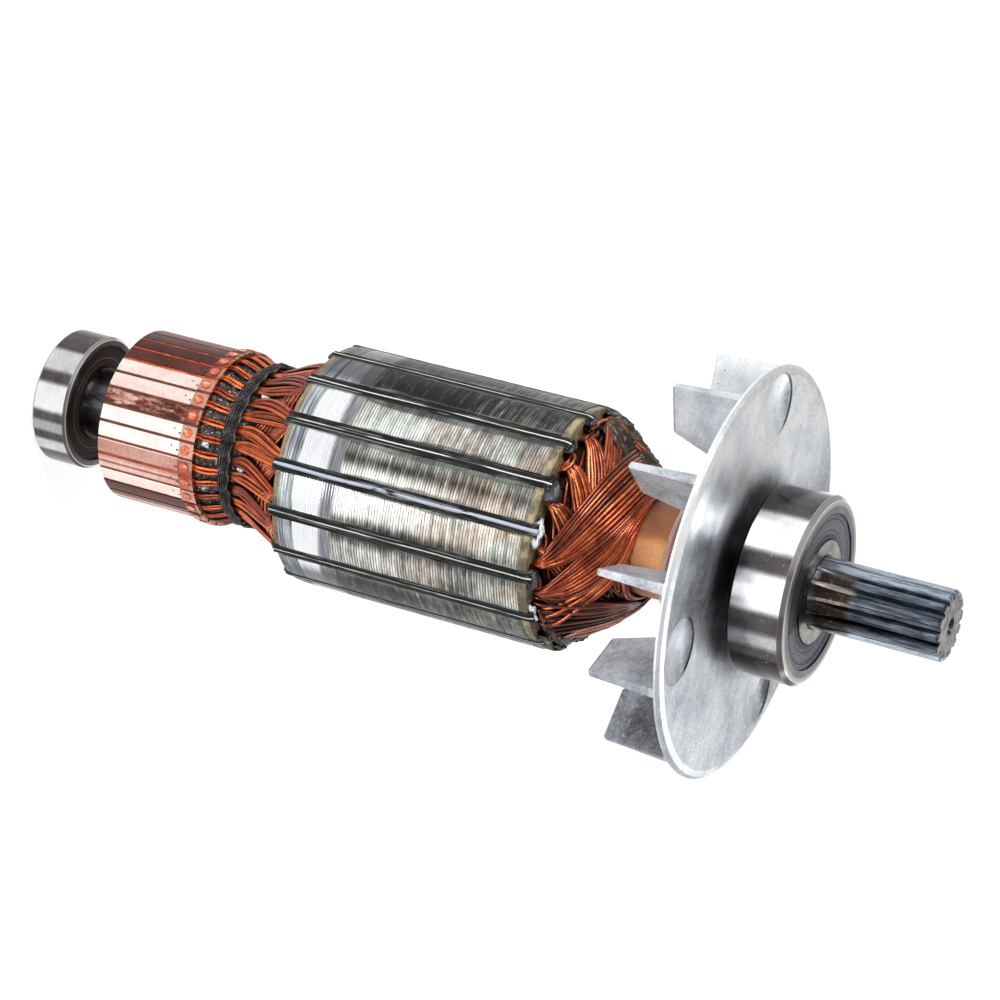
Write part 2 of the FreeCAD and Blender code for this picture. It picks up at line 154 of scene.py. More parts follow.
class Paint:
    """A material whose nodes are added one call at a time; colour is what has been laid so far."""

    def __init__(self, name, metallic=0.0, roughness=0.5, **sockets):
        self.material = bpy.data.materials.new(name)
        self.material.use_nodes = True
        self.tree = self.material.node_tree
        self.tree.nodes.clear()
        self.colour = self.coords = None
        out = self.tree.nodes.new("ShaderNodeOutputMaterial")
        self.bsdf = add_node(self.tree, "ShaderNodeBsdfPrincipled")
        self.tree.links.new(self.bsdf.outputs["BSDF"], out.inputs["Surface"])
        self.shade(Metallic=metallic, Roughness=roughness, **sockets)

    def shade(self, **values):
        """Set the finish's inputs; the colour is the one laid so far, unless it is given."""
        if self.colour:
            values.setdefault("Base_Color", self.colour)
        for key, value in values.items():
            socket = self.bsdf.inputs[key.replace("_", " ")]
            if isinstance(value, Value):
                self.tree.links.new(value.socket, socket)
            else:
                socket.default_value = value
        return self.material

    def add(self, kind, inputs=(), output=0, **settings):
        return Value(self, add_node(self.tree, kind, inputs, **settings).outputs[output])

    def math(self, operation, a, b=0.0):
        return self.add("ShaderNodeMath", {0: a, 1: b}, operation=operation)

    def larger(self, a, b):
        return self.math("MAXIMUM", a, b)

    def mix(self, share, a, b, blend="MIX"):
        """A colour between two: each is another value, or (red, green, blue) from 0 to 255."""
        a, b = (srgb(*colour) if isinstance(colour, tuple) else colour for colour in (a, b))
        return self.add("ShaderNodeMix", {0: share, 6: a, 7: b}, 2, data_type="RGBA", blend_type=blend)

    def over(self, share, *colour):
        """Lay a colour over the ones before: another value, or red, green and blue from 0 to 255."""
        self.colour = self.mix(share, self.colour, colour if len(colour) == 3 else colour[0])

    def blend(self, share, a, b):
        """A number between a and b."""
        return self.add("ShaderNodeMix", {0: share, 2: a, 3: b}, data_type="FLOAT")

    def place(self, sx=1.0, sy=1.0, sz=1.0):
        """The point in millimetres, each axis times its own scale."""
        if self.coords is None:
            self.coords = self.add("ShaderNodeTexCoord", output="Object")
        scale = (1000 * sx, 1000 * sy, 1000 * sz)
        return self.add("ShaderNodeMapping", {"Scale": scale, "Vector": self.coords})

    def axes(self):
        """The three coordinates in millimetres."""
        split = add_node(self.tree, "ShaderNodeSeparateXYZ")
        self.tree.links.new(self.place().socket, split.inputs[0])
        return [Value(self, socket) for socket in split.outputs]

    def polar(self):
        """Angle in degrees, radius and height in millimetres."""
        x, y, z = self.axes()
        angle = self.math("ARCTAN2", y, x) * (180.0 / math.pi)
        return angle, self.math("SQRT", x * x + y * y), z

    def noise(self, squeeze, scale, detail=2.0, roughness=0.5, distortion=0.0):
        """Noise; an axis whose squeeze is small shows it drawn out."""
        inputs = {"Vector": self.place(*squeeze), "Scale": scale, "Detail": detail, "Roughness": roughness}
        return self.add("ShaderNodeTexNoise", {**inputs, "Distortion": distortion})

    def cloud(self, scale, detail=2.0, roughness=0.5):
        """Noise of the same size in every direction."""
        return self.noise((1, 1, 1), scale, detail, roughness)

    def cells(self, scale, sy=1.0, feature="F1"):
        """Distance from the middle, or the edge, of scattered cells."""
        node = add_node(self.tree, "ShaderNodeTexVoronoi", {"Scale": scale}, feature=feature)
        self.tree.links.new(self.place(1.0, sy, 1.0).socket, node.inputs["Vector"])
        return Value(self, node.outputs["Distance"])

    def range(self, value, low, high, out_low=0.0, out_high=1.0):
        return self.add("ShaderNodeMapRange", {0: value, 1: low, 2: high, 3: out_low, 4: out_high},
                        interpolation_type="SMOOTHSTEP")

    def fall(self, value, low, high):
        """1 below low and 0 above high."""
        return self.range(value, low, high, 1.0, 0.0)

    def near(self, value, centre, half, soft):
        """1 where value is within half of centre, fading over soft."""
        return self.fall(abs(value - centre), half, half + soft)

    def stripes(self, angle, base, places):
        """Tone round the shaft: a base level and soft stripes (middle, half width, softness, strength)."""
        total = base
        for middle, half, soft, strength in places:
            total = total + self.near(angle, middle, half, soft) * strength
        return total

    def ramp(self, value, *stops):
        """Colours from (place, red, green, blue), which are blended in between."""
        node = add_node(self.tree, "ShaderNodeValToRGB", {0: value})
        elements = node.color_ramp.elements
        elements[0].position, elements[1].position = stops[0][0], stops[-1][0]
        for place, *_ in stops[1:-1]:
            elements.new(place)
        for element, (_, *rgb) in zip(elements, stops):
            element.color = srgb(*rgb)
        return Value(self, node.outputs[0])

    def repeat(self, value, step, phase=0.0):
        """Share of the way through each step, from 0 to 1."""
        return self.math("FRACT", (value - phase) / step)

    def bump(self, height, distance, strength=1.0):
        """Relief of that height in millimetres where height goes from 0 to 1."""
        node = add_node(self.tree, "ShaderNodeBump",
                        {"Strength": strength, "Distance": distance * MM, "Height": height})
        normal = self.bsdf.inputs["Normal"]
        if normal.is_linked:
            self.tree.links.new(normal.links[0].from_socket, node.inputs["Normal"])
        self.tree.links.new(node.outputs[0], normal)

    def attribute(self, name):
        return self.add("ShaderNodeAttribute", output="Fac", attribute_name=name)


def outer_ring_steel(name, roughness, stripes, z0, z1, outer_r, chamfer, rim, face_tone, face_highlight):
    """Ground outer ring: painted reflections in bright and dark stripes on its rim, plain faces with a
    painted highlight near their outer edge, and chamfers painted pale as a highlight, with painted shade
    on one side.
    """
    p = Paint(name, metallic=1.0)
    angle, radius, z = p.polar()
    lines = p.noise((0.12, 0.12, 1.0), 9.0, 3.0, 0.6)
    stains = p.cloud(0.3, 4.0, 0.6)
    specks = p.range(p.cloud(2.2, 3.0, 0.6), 0.66, 0.72)
    # Painted reflections: the stripes make the rim bright and dark round the shaft.
    tone = p.stripes(angle, 0.2, stripes)
    tone += (lines - 0.5) * 0.3
    tone += (stains - 0.5) * 0.35
    p.colour = p.ramp(tone, (0.0, 44, 38, 38), (0.25, 92, 88, 90), (0.5, 152, 150, 154),
                      (0.8, 226, 226, 228), (1.0, 250, 250, 251))
    p.over(specks * 0.5, 214, 196, 178)
    middle, half = (z0 + z1) / 2, (z1 - z0) / 2
    end = abs(z - middle) - half
    bevel = p.range(end + (radius - outer_r), -chamfer - 0.12, -chamfer)
    face = p.range(end, -0.03, -0.01) * p.range(radius, outer_r - 4.5, outer_r - 4.0)
    # The face's tone is given, and a low one is painted shade; the stains on it are real.
    face_stain_and_shade = face_tone + (stains - 0.5) * 0.5
    face_colour = p.ramp(face_stain_and_shade, (0.0, 52, 44, 38), (0.5, 140, 136, 134), (1.0, 228, 226, 222))
    # Painted shade on the chamfers on one side and at the rear end; elsewhere they are painted pale as a
    # highlight.
    shade = p.near(angle, 40.0, 46.0, 14.0)
    shade = p.larger(shade, p.range(z, middle + 1.0, middle - 1.0))
    bevel_colour = p.mix(shade, (206, 205, 202), (124, 119, 115))
    p.over(bevel * 0.85, bevel_colour)
    # Painted highlight on the outer part of each face.
    outer_part = p.range(radius, outer_r - chamfer - 1.1, outer_r - chamfer - 0.5)
    face_colour = p.mix(outer_part * face_highlight, face_colour, (216, 216, 214))
    p.over(face, face_colour)
    # Painted highlight: a bright line on the edge of the chamfer.
    corner_highlight = p.near(radius, outer_r - chamfer, 0.06, 0.08) * p.range(end, -0.15, -0.08)
    p.over(corner_highlight * 0.8, 250, 250, 248)
    # Painted shade on the ring inside its rim.
    recess_shade = p.range(radius, outer_r - rim + 0.06, outer_r - rim + 0.02)
    p.over(recess_shade * 0.85, 40, 38, 38)
    p.bump(lines, 0.003)
    polish = p.range(stains, 0.3, 0.7, roughness - 0.04, roughness + 0.06)
    return p.shade(Roughness=p.blend(face, polish, 0.42))


def inner_ring_steel(name, dark, light, greasy):
    """Inner ring: turned face with faint lines and a greasy edge."""
    p = Paint(name, metallic=1.0, roughness=0.3)
    angle, radius, _ = p.polar()
    lines = p.math("SINE", radius * 21.0)
    cloud = p.cloud(0.5, 4.0, 0.6)
    share = lines * 0.08 + cloud
    p.colour = p.mix(p.range(share, 0.3, 0.7), dark, light)
    grease = p.near(angle, 7.0, 32.0, 10.0) * greasy
    p.over(grease, 48, 41, 37)
    p.bump(lines, 0.003)
    return p.shade()


def seal_rubber(name, base, dark, ring_r, greasy):
    """Moulded seal: matt rubber with fine raised circles, painted shade along them and at the lip, a
    painted highlight beside the inner one, and a greasy rub near the lip.
    """
    p = Paint(name, roughness=0.5, Specular_IOR_Level=0.25)
    angle, radius, _ = p.polar()
    grain = p.cloud(2.6, 4.0, 0.65)
    outer = p.near(radius, ring_r + 3.0, 0.04, 0.12)
    inner = p.near(radius, ring_r + 1.1, 0.04, 0.1)
    p.colour = p.mix(p.range(grain, 0.35, 0.7), base, dark)
    # Painted shade along the two circles.
    p.over(p.larger(outer, inner) * 0.8, 8, 8, 9)
    # Painted highlight: a thin pale line beside the inner circle.
    shine = p.near(radius, ring_r + 1.32, 0.03, 0.08)
    p.over(shine * 0.45, 150, 140, 126)
    # Painted shade at the lip.
    lip = p.near(radius, ring_r, 0.3, 0.3)
    p.over(lip * 0.6, 14, 13, 13)
    specks = p.range(p.cloud(3.4, 3.0, 0.6), 0.6, 0.66)
    p.over(specks * 0.75, 22, 20, 20)
    grease = p.near(angle, 7.0, 28.0, 7.0) * p.range(grain, 0.2, 0.5, 0.75 * greasy, greasy)
    p.over(grease, 26, 18, 14)
    circles = p.larger(outer, inner) + grain * 0.3
    p.bump(circles * -1.0, 0.05)
    return p.shade(Roughness=p.range(grain, 0.3, 0.7, 0.42, 0.62))


def shaft_steel():
    """Dark ground steel; blued and browned by heat along the spline, with painted reflections round it and
    on the collar, painted highlights on the tooth flanks and scoops, painted shade at the tooth roots, and
    a rubbed end.
    """
    p = Paint("shaft_steel", metallic=1.0)
    angle, radius, z = p.polar()
    grain = p.noise((0.25, 0.25, 1.0), 6.0, 4.0, 0.6)
    along_grain = p.noise((1.4, 1.4, 0.16), 1.3, 4.0, 0.6)
    patches = p.noise((1.0, 1.0, 0.4), 0.5, 4.0, 0.65, 0.6)
    plain_steel = p.mix(p.range(grain, 0.3, 0.7), (62, 60, 61), (128, 127, 128))
    tone = patches * 0.35 + along_grain * 0.6
    # Painted reflections: the spline's tone rises and falls in stripes round it.
    tone = p.stripes(angle, tone, ((-76, 26, 22, 0.2), (76, 18, 18, 0.24), (180, 20, 30, 0.1)))
    blued = p.ramp(tone, (0.38, 48, 52, 64), (0.5, 80, 86, 98), (0.6, 118, 127, 138),
                   (0.72, 164, 176, 188))
    brown = p.range(p.noise((1, 1, 0.5), 0.7, 4.0), 0.54, 0.66)
    blued = p.mix(brown * 0.2, blued, (120, 100, 84))
    along = p.range(z, Z_SPLINE - 1.0, Z_SPLINE + 2.0)
    p.colour = p.mix(along, plain_steel, blued)
    # Painted highlight: pale blue lines along the tooth flanks.
    flank_highlight = p.near(radius, 5.35, 0.12, 0.2) * p.range(along_grain, 0.4, 0.55)
    p.over(flank_highlight * along * 0.7, 176, 194, 212)
    # Painted shade at the roots of the teeth.
    root = p.fall(radius, 4.75, 5.2)
    root_shade = root * p.range(z, Z_SPLINE + 4.0, Z_SPLINE + 8.0)
    p.over(root_shade * 0.45, 34, 36, 46)
    begin = p.range(z, Z_SPLINE + 7.9, Z_SPLINE + 6.2) * along
    # Painted highlight: the scoops where the spline runs out are pale, most on one side.
    scoop_highlight = begin * p.fall(radius, 5.6, 5.95)
    scoop_highlight *= p.range(angle, 8.0, -26.0, 0.06, 0.85)
    dirt = p.mix(p.range(p.cloud(1.6, 4.0, 0.7), 0.56, 0.66), (40, 29, 22), (118, 78, 34))
    greasy = begin * p.near(angle, 12.0, 46.0, 22.0)
    p.over(greasy * 0.9, dirt)
    p.over(scoop_highlight, 176, 173, 168)
    collar = p.range(z, 6.0, 7.0) * p.fall(z, 17.0, 18.0)
    # Painted reflection: the collar is paler round -18 degrees, broken up by patches.
    rubbed = p.near(angle, -18.0, 12.0, 26.0) * p.range(patches, 0.3, 0.6)
    collar_tone = p.mix(rubbed, (50, 45, 45), (126, 122, 124))
    p.over(collar * 0.85, collar_tone)
    rust = p.range(p.cloud(1.4, 5.0, 0.65), 0.6, 0.7)
    rust *= p.range(z, Z_END - 8.0, Z_END - 1.0, 0.2, 0.8)
    rust *= along
    p.over(rust, 118, 74, 52)
    end = p.range(z, Z_END - 0.06, Z_END - 0.01)
    end_tone = p.mix(p.range(p.cloud(0.8, 4.0), 0.35, 0.65), (132, 124, 122), (186, 182, 180))
    p.over(end, end_tone)
    p.bump(grain, 0.012)
    return p.shade(Roughness=p.range(patches, 0.3, 0.7, 0.26, 0.44))


def bar_copper():
    """Turned copper bars: painted reflections make them pink where bright and maroon where dark; one bar
    is mottled and the bar edges are stained.
    """
    p = Paint("bar_copper", metallic=1.0)
    angle, radius, z = p.polar()
    turning = p.noise((0.09, 0.09, 1.0), 7.0, 4.0, 0.6)
    cloud = p.noise((0.9, 0.9, 0.5), 0.3, 5.0, 0.65)
    fine = p.noise((0.8, 0.8, 1.0), 1.4, 4.0, 0.7)
    # Painted reflections: bright and dark stripes round the bars.
    tone = p.stripes(angle, 0.2, COPPER_REFLECTIONS)
    mottled = p.near(angle, -13.2, 5.6, 1.0)
    blotch = p.noise((1.2, 1.2, 0.35), 0.7, 6.0, 0.75)
    tone += mottled * p.range(blotch, 0.4, 0.66, -0.02, 0.52)
    tone += (turning - 0.5) * 0.3
    tone += (cloud - 0.5) * 0.4
    tone += (fine - 0.5) * 0.16
    across = p.repeat(angle, BAR_STEP, BAR_PHASE - BAR_STEP / 2)
    rim = p.range(abs(across - 0.5), 0.34, 0.47)
    stain = rim * p.range(p.noise((1, 1, 0.3), 0.35, 3.0), 0.4, 0.6, 0.15, 1.0)
    tone -= stain * 0.3
    line = p.near(angle, 32.2, 0.5, 0.7) * 0.3
    tone -= line
    riser = p.range(z, Z_RISER - 0.15, Z_RISER + 0.2)
    # Painted shade at the step up to the riser.
    edge = p.near(z, Z_RISER, 0.1, 0.15)
    tone -= riser * 0.22
    tone -= edge * 0.18
    p.colour = p.ramp(tone, (0.0, 66, 36, 32), (0.25, 102, 62, 55), (0.45, 168, 112, 98),
                      (0.65, 208, 162, 148), (0.82, 244, 212, 202), (1.0, 254, 248, 244))
    p.over(riser * 0.4, 196, 116, 90)
    front_edge = p.range(z, Z_RISER_END - 0.75, Z_RISER_END - 0.35)
    resin = front_edge * p.range(p.cloud(0.5, 3.0), 0.42, 0.55)
    p.over(resin * 0.7, 190, 172, 136)
    tick = p.near(z, 32.35, 0.16, 0.1) * p.near(across, 0.62, 0.035, 0.03)
    more = p.near(z, 31.2, 0.08, 0.08) * p.near(across, 0.42, 0.03, 0.03)
    tick = p.larger(tick, more)
    p.over(tick * 0.85, 46, 24, 18)
    # Painted light: the bars' sides below the top are painted bright orange.
    side = p.fall(radius, 14.9, 15.25)
    p.over(side * 0.9, 190, 84, 52)
    p.bump(turning, 0.005)
    p.bump(tick * -1.0, 0.08)
    return p.shade(Roughness=p.range(tone, 0.2, 0.9, 0.36, 0.22))


def mica():
    """Mica between the bars, browned and packed with copper dust."""
    p = Paint("mica", roughness=0.7)
    grain = p.cloud(1.8, 5.0, 0.65)
    p.colour = p.ramp(grain, (0.3, 34, 18, 12), (0.5, 84, 40, 22), (0.72, 150, 74, 36))
    p.bump(grain, 0.08)
    return p.shade()


def wire_end():
    """Fused ends of the wires in the risers: orange copper, darker towards their rims, a painted highlight
    on one side and a skin of varnish.
    """
    p = Paint("wire_end_copper", metallic=0.75, roughness=0.3, Coat_Weight=0.5, Coat_Roughness=0.1)
    angle, _, z = p.polar()
    lumps = p.cloud(0.9, 4.0, 0.6)
    across = p.repeat(angle, BAR_STEP, BAR_PHASE - BAR_STEP / 2)
    side = (across - 0.5) * (math.radians(BAR_STEP) * RISER_R)
    ahead = z - (Z_RISER_END - 1.6)
    squares = side * side + ahead * ahead
    away = p.math("SQRT", squares) + (lumps - 0.5) * 1.8
    p.colour = p.ramp(lumps, (0.3, 176, 66, 34), (0.5, 232, 110, 68), (0.7, 250, 164, 130))
    p.over(p.range(away, 0.5, 0.95, 0.0, 0.7), 128, 50, 30)
    # Painted highlight: a glint on one side of each end.
    glint = p.near(side, -0.25, 0.06, 0.2) * p.range(lumps, 0.46, 0.6)
    p.over(glint * 0.7, 255, 222, 206)
    p.bump(lumps, 0.4)
    return p.shade()


def enamel(name, dark, mid, light, metallic=0.75):
    """Copper wire under clear red enamel and a coat of varnish."""
    p = Paint(name, metallic=metallic, roughness=0.3, Coat_Weight=0.4, Coat_Roughness=0.1)
    own = p.attribute("wire")
    grain = p.cloud(0.7, 3.0, 0.6)
    share = own * 0.55 + grain * 0.5
    p.colour = p.ramp(share, (0.2, *dark), (0.52, *mid), (0.82, *light))
    varnish = p.range(p.cloud(0.2, 4.0, 0.6), 0.5, 0.68)
    p.over(varnish * 0.6, 70, 24, 9)
    # Painted shade: each wire darkens away from its crown, so the gaps between wires look dark.
    shade_between_wires = p.range(p.attribute("crown"), 0.14, 0.82, 0.96, 0.0)
    p.over(shade_between_wires, 34, 11, 6)
    p.bump(p.cloud(0.9, 2.0), 0.02)
    return p.shade(Roughness=p.range(grain, 0.3, 0.7, 0.24, 0.38))


def dark_resin(name, dark, light, rough_low=0.16, rough_high=0.42, lump=0.12):
    """Dripped varnish: nearly black, glossy, dusty in its hollows."""
    p = Paint(name, Specular_IOR_Level=0.4)
    lumps = p.cloud(0.55, 5.0, 0.6)
    dust = p.cloud(2.6, 4.0, 0.65)
    p.colour = p.mix(p.range(lumps, 0.35, 0.68), dark, light)
    p.over(p.range(dust, 0.56, 0.72) * 0.45, 120, 116, 104)
    p.bump(lumps, lump)
    p.bump(dust, 0.03)
    return p.shade(Roughness=p.range(dust, 0.35, 0.65, rough_low, rough_high))


def strip_resin():
    """Varnish over the wedges: black grooves, greyer flanks, a painted highlight along the bead with a
    fainter one beside it, and a pale painted reflection along the strip at 0 degrees.
    """
    p = Paint("wedge_resin", Specular_IOR_Level=0.2)
    angle, _, _ = p.polar()
    lumps = p.noise((1, 1, 0.4), 0.5, 5.0, 0.6)
    part = p.attribute("part")
    p.colour = p.mix(p.range(lumps, 0.4, 0.66), (9, 8, 8), (30, 30, 29))
    edge = p.range(part, 0.75, 0.95)
    grey = p.mix(p.range(lumps, 0.4, 0.62), (20, 21, 20), (84, 88, 84))
    p.over(edge, grey)
    # Painted highlights: a broken bright line along the crest and fainter ones in the valleys.
    broken = p.range(p.noise((1, 1, 0.14), 0.6, 3.0), 0.38, 0.52, 0.12, 1.0)
    crest = p.range(part, 0.13, 0.03) * broken
    p.over(crest * 0.92, 246, 247, 246)
    side = p.near(part, 0.56, 0.03, 0.05) * p.range(broken, 0.9, 0.2)
    p.over(side * 0.6, 190, 192, 190)
    # Painted reflection: a pale line along the strip at 0 degrees.
    pale = p.near(angle, 0.0, 3.0, 0.6) * p.range(part, 0.42, 0.3)
    pale *= p.range(p.noise((1, 1, 0.5), 0.55, 4.0), 0.36, 0.5)
    p.over(pale * 0.85, 190, 198, 216)
    p.bump(lumps, 0.06)
    return p.shade(Roughness=p.range(lumps, 0.35, 0.65, 0.16, 0.36))


def slit_dust():
    """Brown dust and varnish that fill the slits between the bars, painted glowing orange at two ranges of
    angle as painted light.
    """
    p = Paint("slit_dust", roughness=0.6)
    angle, _, _ = p.polar()
    grain = p.noise((1, 1, 0.4), 1.2, 5.0, 0.7)
    # Painted light: at two ranges of angle the slits glow orange.
    lit_slits = p.larger(p.near(angle, -68.0, 28.0, 4.0), p.near(angle, 27.0, 9.0, 4.0))
    dull = p.ramp(grain, (0.3, 44, 22, 15), (0.55, 104, 54, 36), (0.72, 160, 92, 62))
    glow = p.ramp(grain, (0.3, 96, 34, 18), (0.55, 206, 84, 46), (0.72, 248, 132, 84))
    p.bump(grain, 0.05)
    return p.shade(Base_Color=p.mix(lit_slits, dull, glow))


def lead_resin():
    """Grey pitted resin round the leads, with pale flecks."""
    p = Paint("lead_resin", Specular_IOR_Level=0.35)
    pits = p.range(p.cells(1.5), 0.1, 0.5)
    lumps = p.cloud(0.8, 5.0, 0.65)
    p.colour = p.ramp(lumps, (0.3, 22, 18, 15), (0.5, 60, 55, 49), (0.68, 132, 126, 116))
    p.over(pits * 0.4, 24, 20, 17)
    fleck = p.range(p.cloud(2.6, 3.0), 0.61, 0.66)
    p.over(fleck, 216, 214, 208)
    p.bump(lumps - pits * 0.5, 0.35)
    return p.shade(Roughness=p.range(lumps, 0.3, 0.7, 0.22, 0.5))


def core_steel():
    """Stacked sheets turned to size: a line at every sheet, streaks where the tool tore or rubbed, a
    ground band near the rear, varnish that ran out of the slots, and painted reflections in bright and
    dark stripes round it."""
    p = Paint("core_steel", metallic=1.0)
    angle, _, z = p.polar()
    wave = p.noise((0.5, 0.5, 0.5), 0.25, 1.0) * 0.25
    sheet = p.repeat(z + wave, SHEET, Z_STACK)
    joint = p.range(abs(sheet - 0.5), 0.24, 0.44)
    number = p.math("FLOOR", (z - Z_STACK) / SHEET)
    own = p.add("ShaderNodeTexWhiteNoise", {"W": number}, "Value", noise_dimensions="1D")
    streaks = p.noise((0.22, 0.22, 1.0), 1.9, 5.0, 0.7)
    rubs = p.noise((0.6, 0.6, 0.45), 0.32, 5.0, 0.62)
    front = p.range(z, 76.0, 91.0)
    # Painted reflections: bright and dark stripes round the core, weaker towards the front.
    tone = p.stripes(angle, 0.2, CORE_REFLECTIONS)
    tone = p.blend(front * 0.62, tone, 0.35 + tone * 0.14)
    tone += streaks - 0.5
    tone += (own - 0.5) * 0.26
    tone += (rubs - 0.5) * 0.8
    lit = p.range(tone, 0.1, 0.9, 0.16, 0.42)
    tone = tone + 0.07 - joint * lit
    body = p.ramp(tone, (0.0, 38, 38, 38), (0.22, 78, 77, 76), (0.45, 132, 131, 127),
                  (0.68, 200, 196, 188), (0.9, 246, 246, 244), (1.0, 254, 254, 254))
    tint = p.noise((0.6, 0.6, 0.35), 0.22, 3.0)
    beige = p.range(z, 74.0, 96.0) * p.range(tint, 0.42, 0.56)
    body = p.mix(beige * 0.55, body, (222, 190, 162), "MULTIPLY")
    green = p.range(tint, 0.52, 0.4)
    body = p.mix(green * 0.45, body, (196, 214, 208), "MULTIPLY")
    slant = z + abs(angle + 2.0) * 0.022
    slant += rubs * 0.8
    band = p.range(z, Z_BAND, Z_BAND + 0.4) * p.fall(slant, Z_BAND_END, Z_BAND_END + 0.8)
    smooth = p.noise((0.06, 0.06, 1.0), 3.0, 3.0, 0.5)
    # Painted reflection on the ground band: bright over a broad range of angle and at the sides, with
    # painted shade along its front edge.
    broad = p.near(angle, 3.0, 43.0, 14.0)
    around = p.larger(broad, p.range(abs(angle), 88.0, 120.0) * 0.8)
    shine = around * 0.55 + smooth * 0.5
    shine -= p.near(slant, Z_BAND_END - 0.6, 0.8, 1.2) * 0.42
    ground = p.ramp(shine, (0.1, 84, 80, 84), (0.35, 122, 120, 126), (0.6, 200, 202, 207),
                    (0.8, 238, 240, 243))
    p.colour = p.mix(band, body, ground)
    rear = p.fall(z, Z_BAND - 0.3, Z_BAND + 0.2)
    ridges = p.range(p.noise((0.03, 0.03, 1.0), 2.6, 2.0, 0.6), 0.36, 0.62)
    ridges *= p.range(rubs, 0.3, 0.6, 0.6, 1.0)
    # The ridges are painted brighter where the band's painted reflection is.
    ridge_tone = p.mix(ridges * (around * 0.7 + 0.25), (88, 95, 102), (206, 212, 216))
    p.over(rear * 0.9, ridge_tone)
    in_slot = p.repeat(angle, SLOT_STEP, -SLOT_STEP / 2)
    from_slot = abs(in_slot - 0.5)
    edge = 0.02 + p.noise((1, 1, 0.3), 0.22, 5.0, 0.6) * 0.3
    after = p.math("GREATER_THAN", in_slot, 0.5) * p.near(angle, -24.0, 20.0, 6.0)
    edge += after * 0.08
    edge *= p.range(z, 64.0, 70.0, 0.72, 1.0)
    spill = p.range(edge - from_slot, -0.02, 0.02)
    spill_colour = p.mix(p.range(rubs, 0.4, 0.6), (40, 46, 44), (104, 116, 108))
    p.over(spill * 0.8, spill_colour)
    p.bump(joint * -1.0, 0.03, 0.8)
    p.bump(streaks, 0.015)
    p.bump(spill, 0.05)
    rough = p.blend(band, p.range(streaks, 0.4, 0.7, 0.4, 0.28), 0.17)
    rough = p.blend(spill, rough, p.range(rubs, 0.3, 0.7, 0.2, 0.34))
    metal = 1.0 - spill * 0.7
    return p.shade(Roughness=rough, Metallic=metal)


def fibre_board():
    """Pressed fibre end plates, yellowed by varnish."""
    p = Paint("fibre", roughness=0.6, Coat_Weight=0.25, Coat_Roughness=0.3)
    layers = p.noise((0.3, 0.3, 1.0), 5.0, 4.0, 0.65)
    stain = p.cloud(0.3, 4.0, 0.6)
    p.colour = p.mix(p.range(layers, 0.3, 0.7), (104, 92, 68), (166, 152, 118))
    p.over(p.range(stain, 0.42, 0.62) * 0.75, 64, 56, 38)
    _, _, z = p.polar()
    # Painted highlight: a pale band round the front plate's edge.
    pale = p.near(z, Z_PLATE_FRONT - 0.75, 0.3, 0.3) * p.range(stain, 0.56, 0.4)
    p.over(pale * 0.7, 184, 170, 130)
    p.bump(layers, 0.05)
    return p.shade()


def wound_tube():
    """Wound fibre tube: brown with paler patches, paler stripes of painted sheen round it, and fine
    fibres.
    """
    p = Paint("tube_fibre", roughness=0.55)
    angle, _, z = p.polar()
    fibres = p.noise((0.3, 0.3, 1.0), 3.0, 5.0, 0.7)
    patches = p.cloud(0.16, 3.0, 0.5)
    fine = p.cloud(2.8, 4.0, 0.7)
    # Painted sheen: paler stripes at set angles round the tube.
    rub = p.stripes(angle, 0.0,
                    ((2, 10, 16, 0.5), (60, 6, 14, 0.3), (150, 14, 20, 0.4), (-130, 12, 20, 0.4)))
    share = patches * 0.4 + fine * 0.22
    share += rub * 0.45
    share += p.range(z, 114.0, 121.5, -0.05, 0.12)
    p.colour = p.ramp(share, (0.26, 98, 54, 30), (0.42, 152, 94, 56), (0.6, 198, 138, 84),
                      (0.76, 226, 172, 116))
    p.over(p.range(fibres, 0.5, 0.7) * 0.25, 112, 60, 32)
    p.bump(fine, 0.05)
    return p.shade()


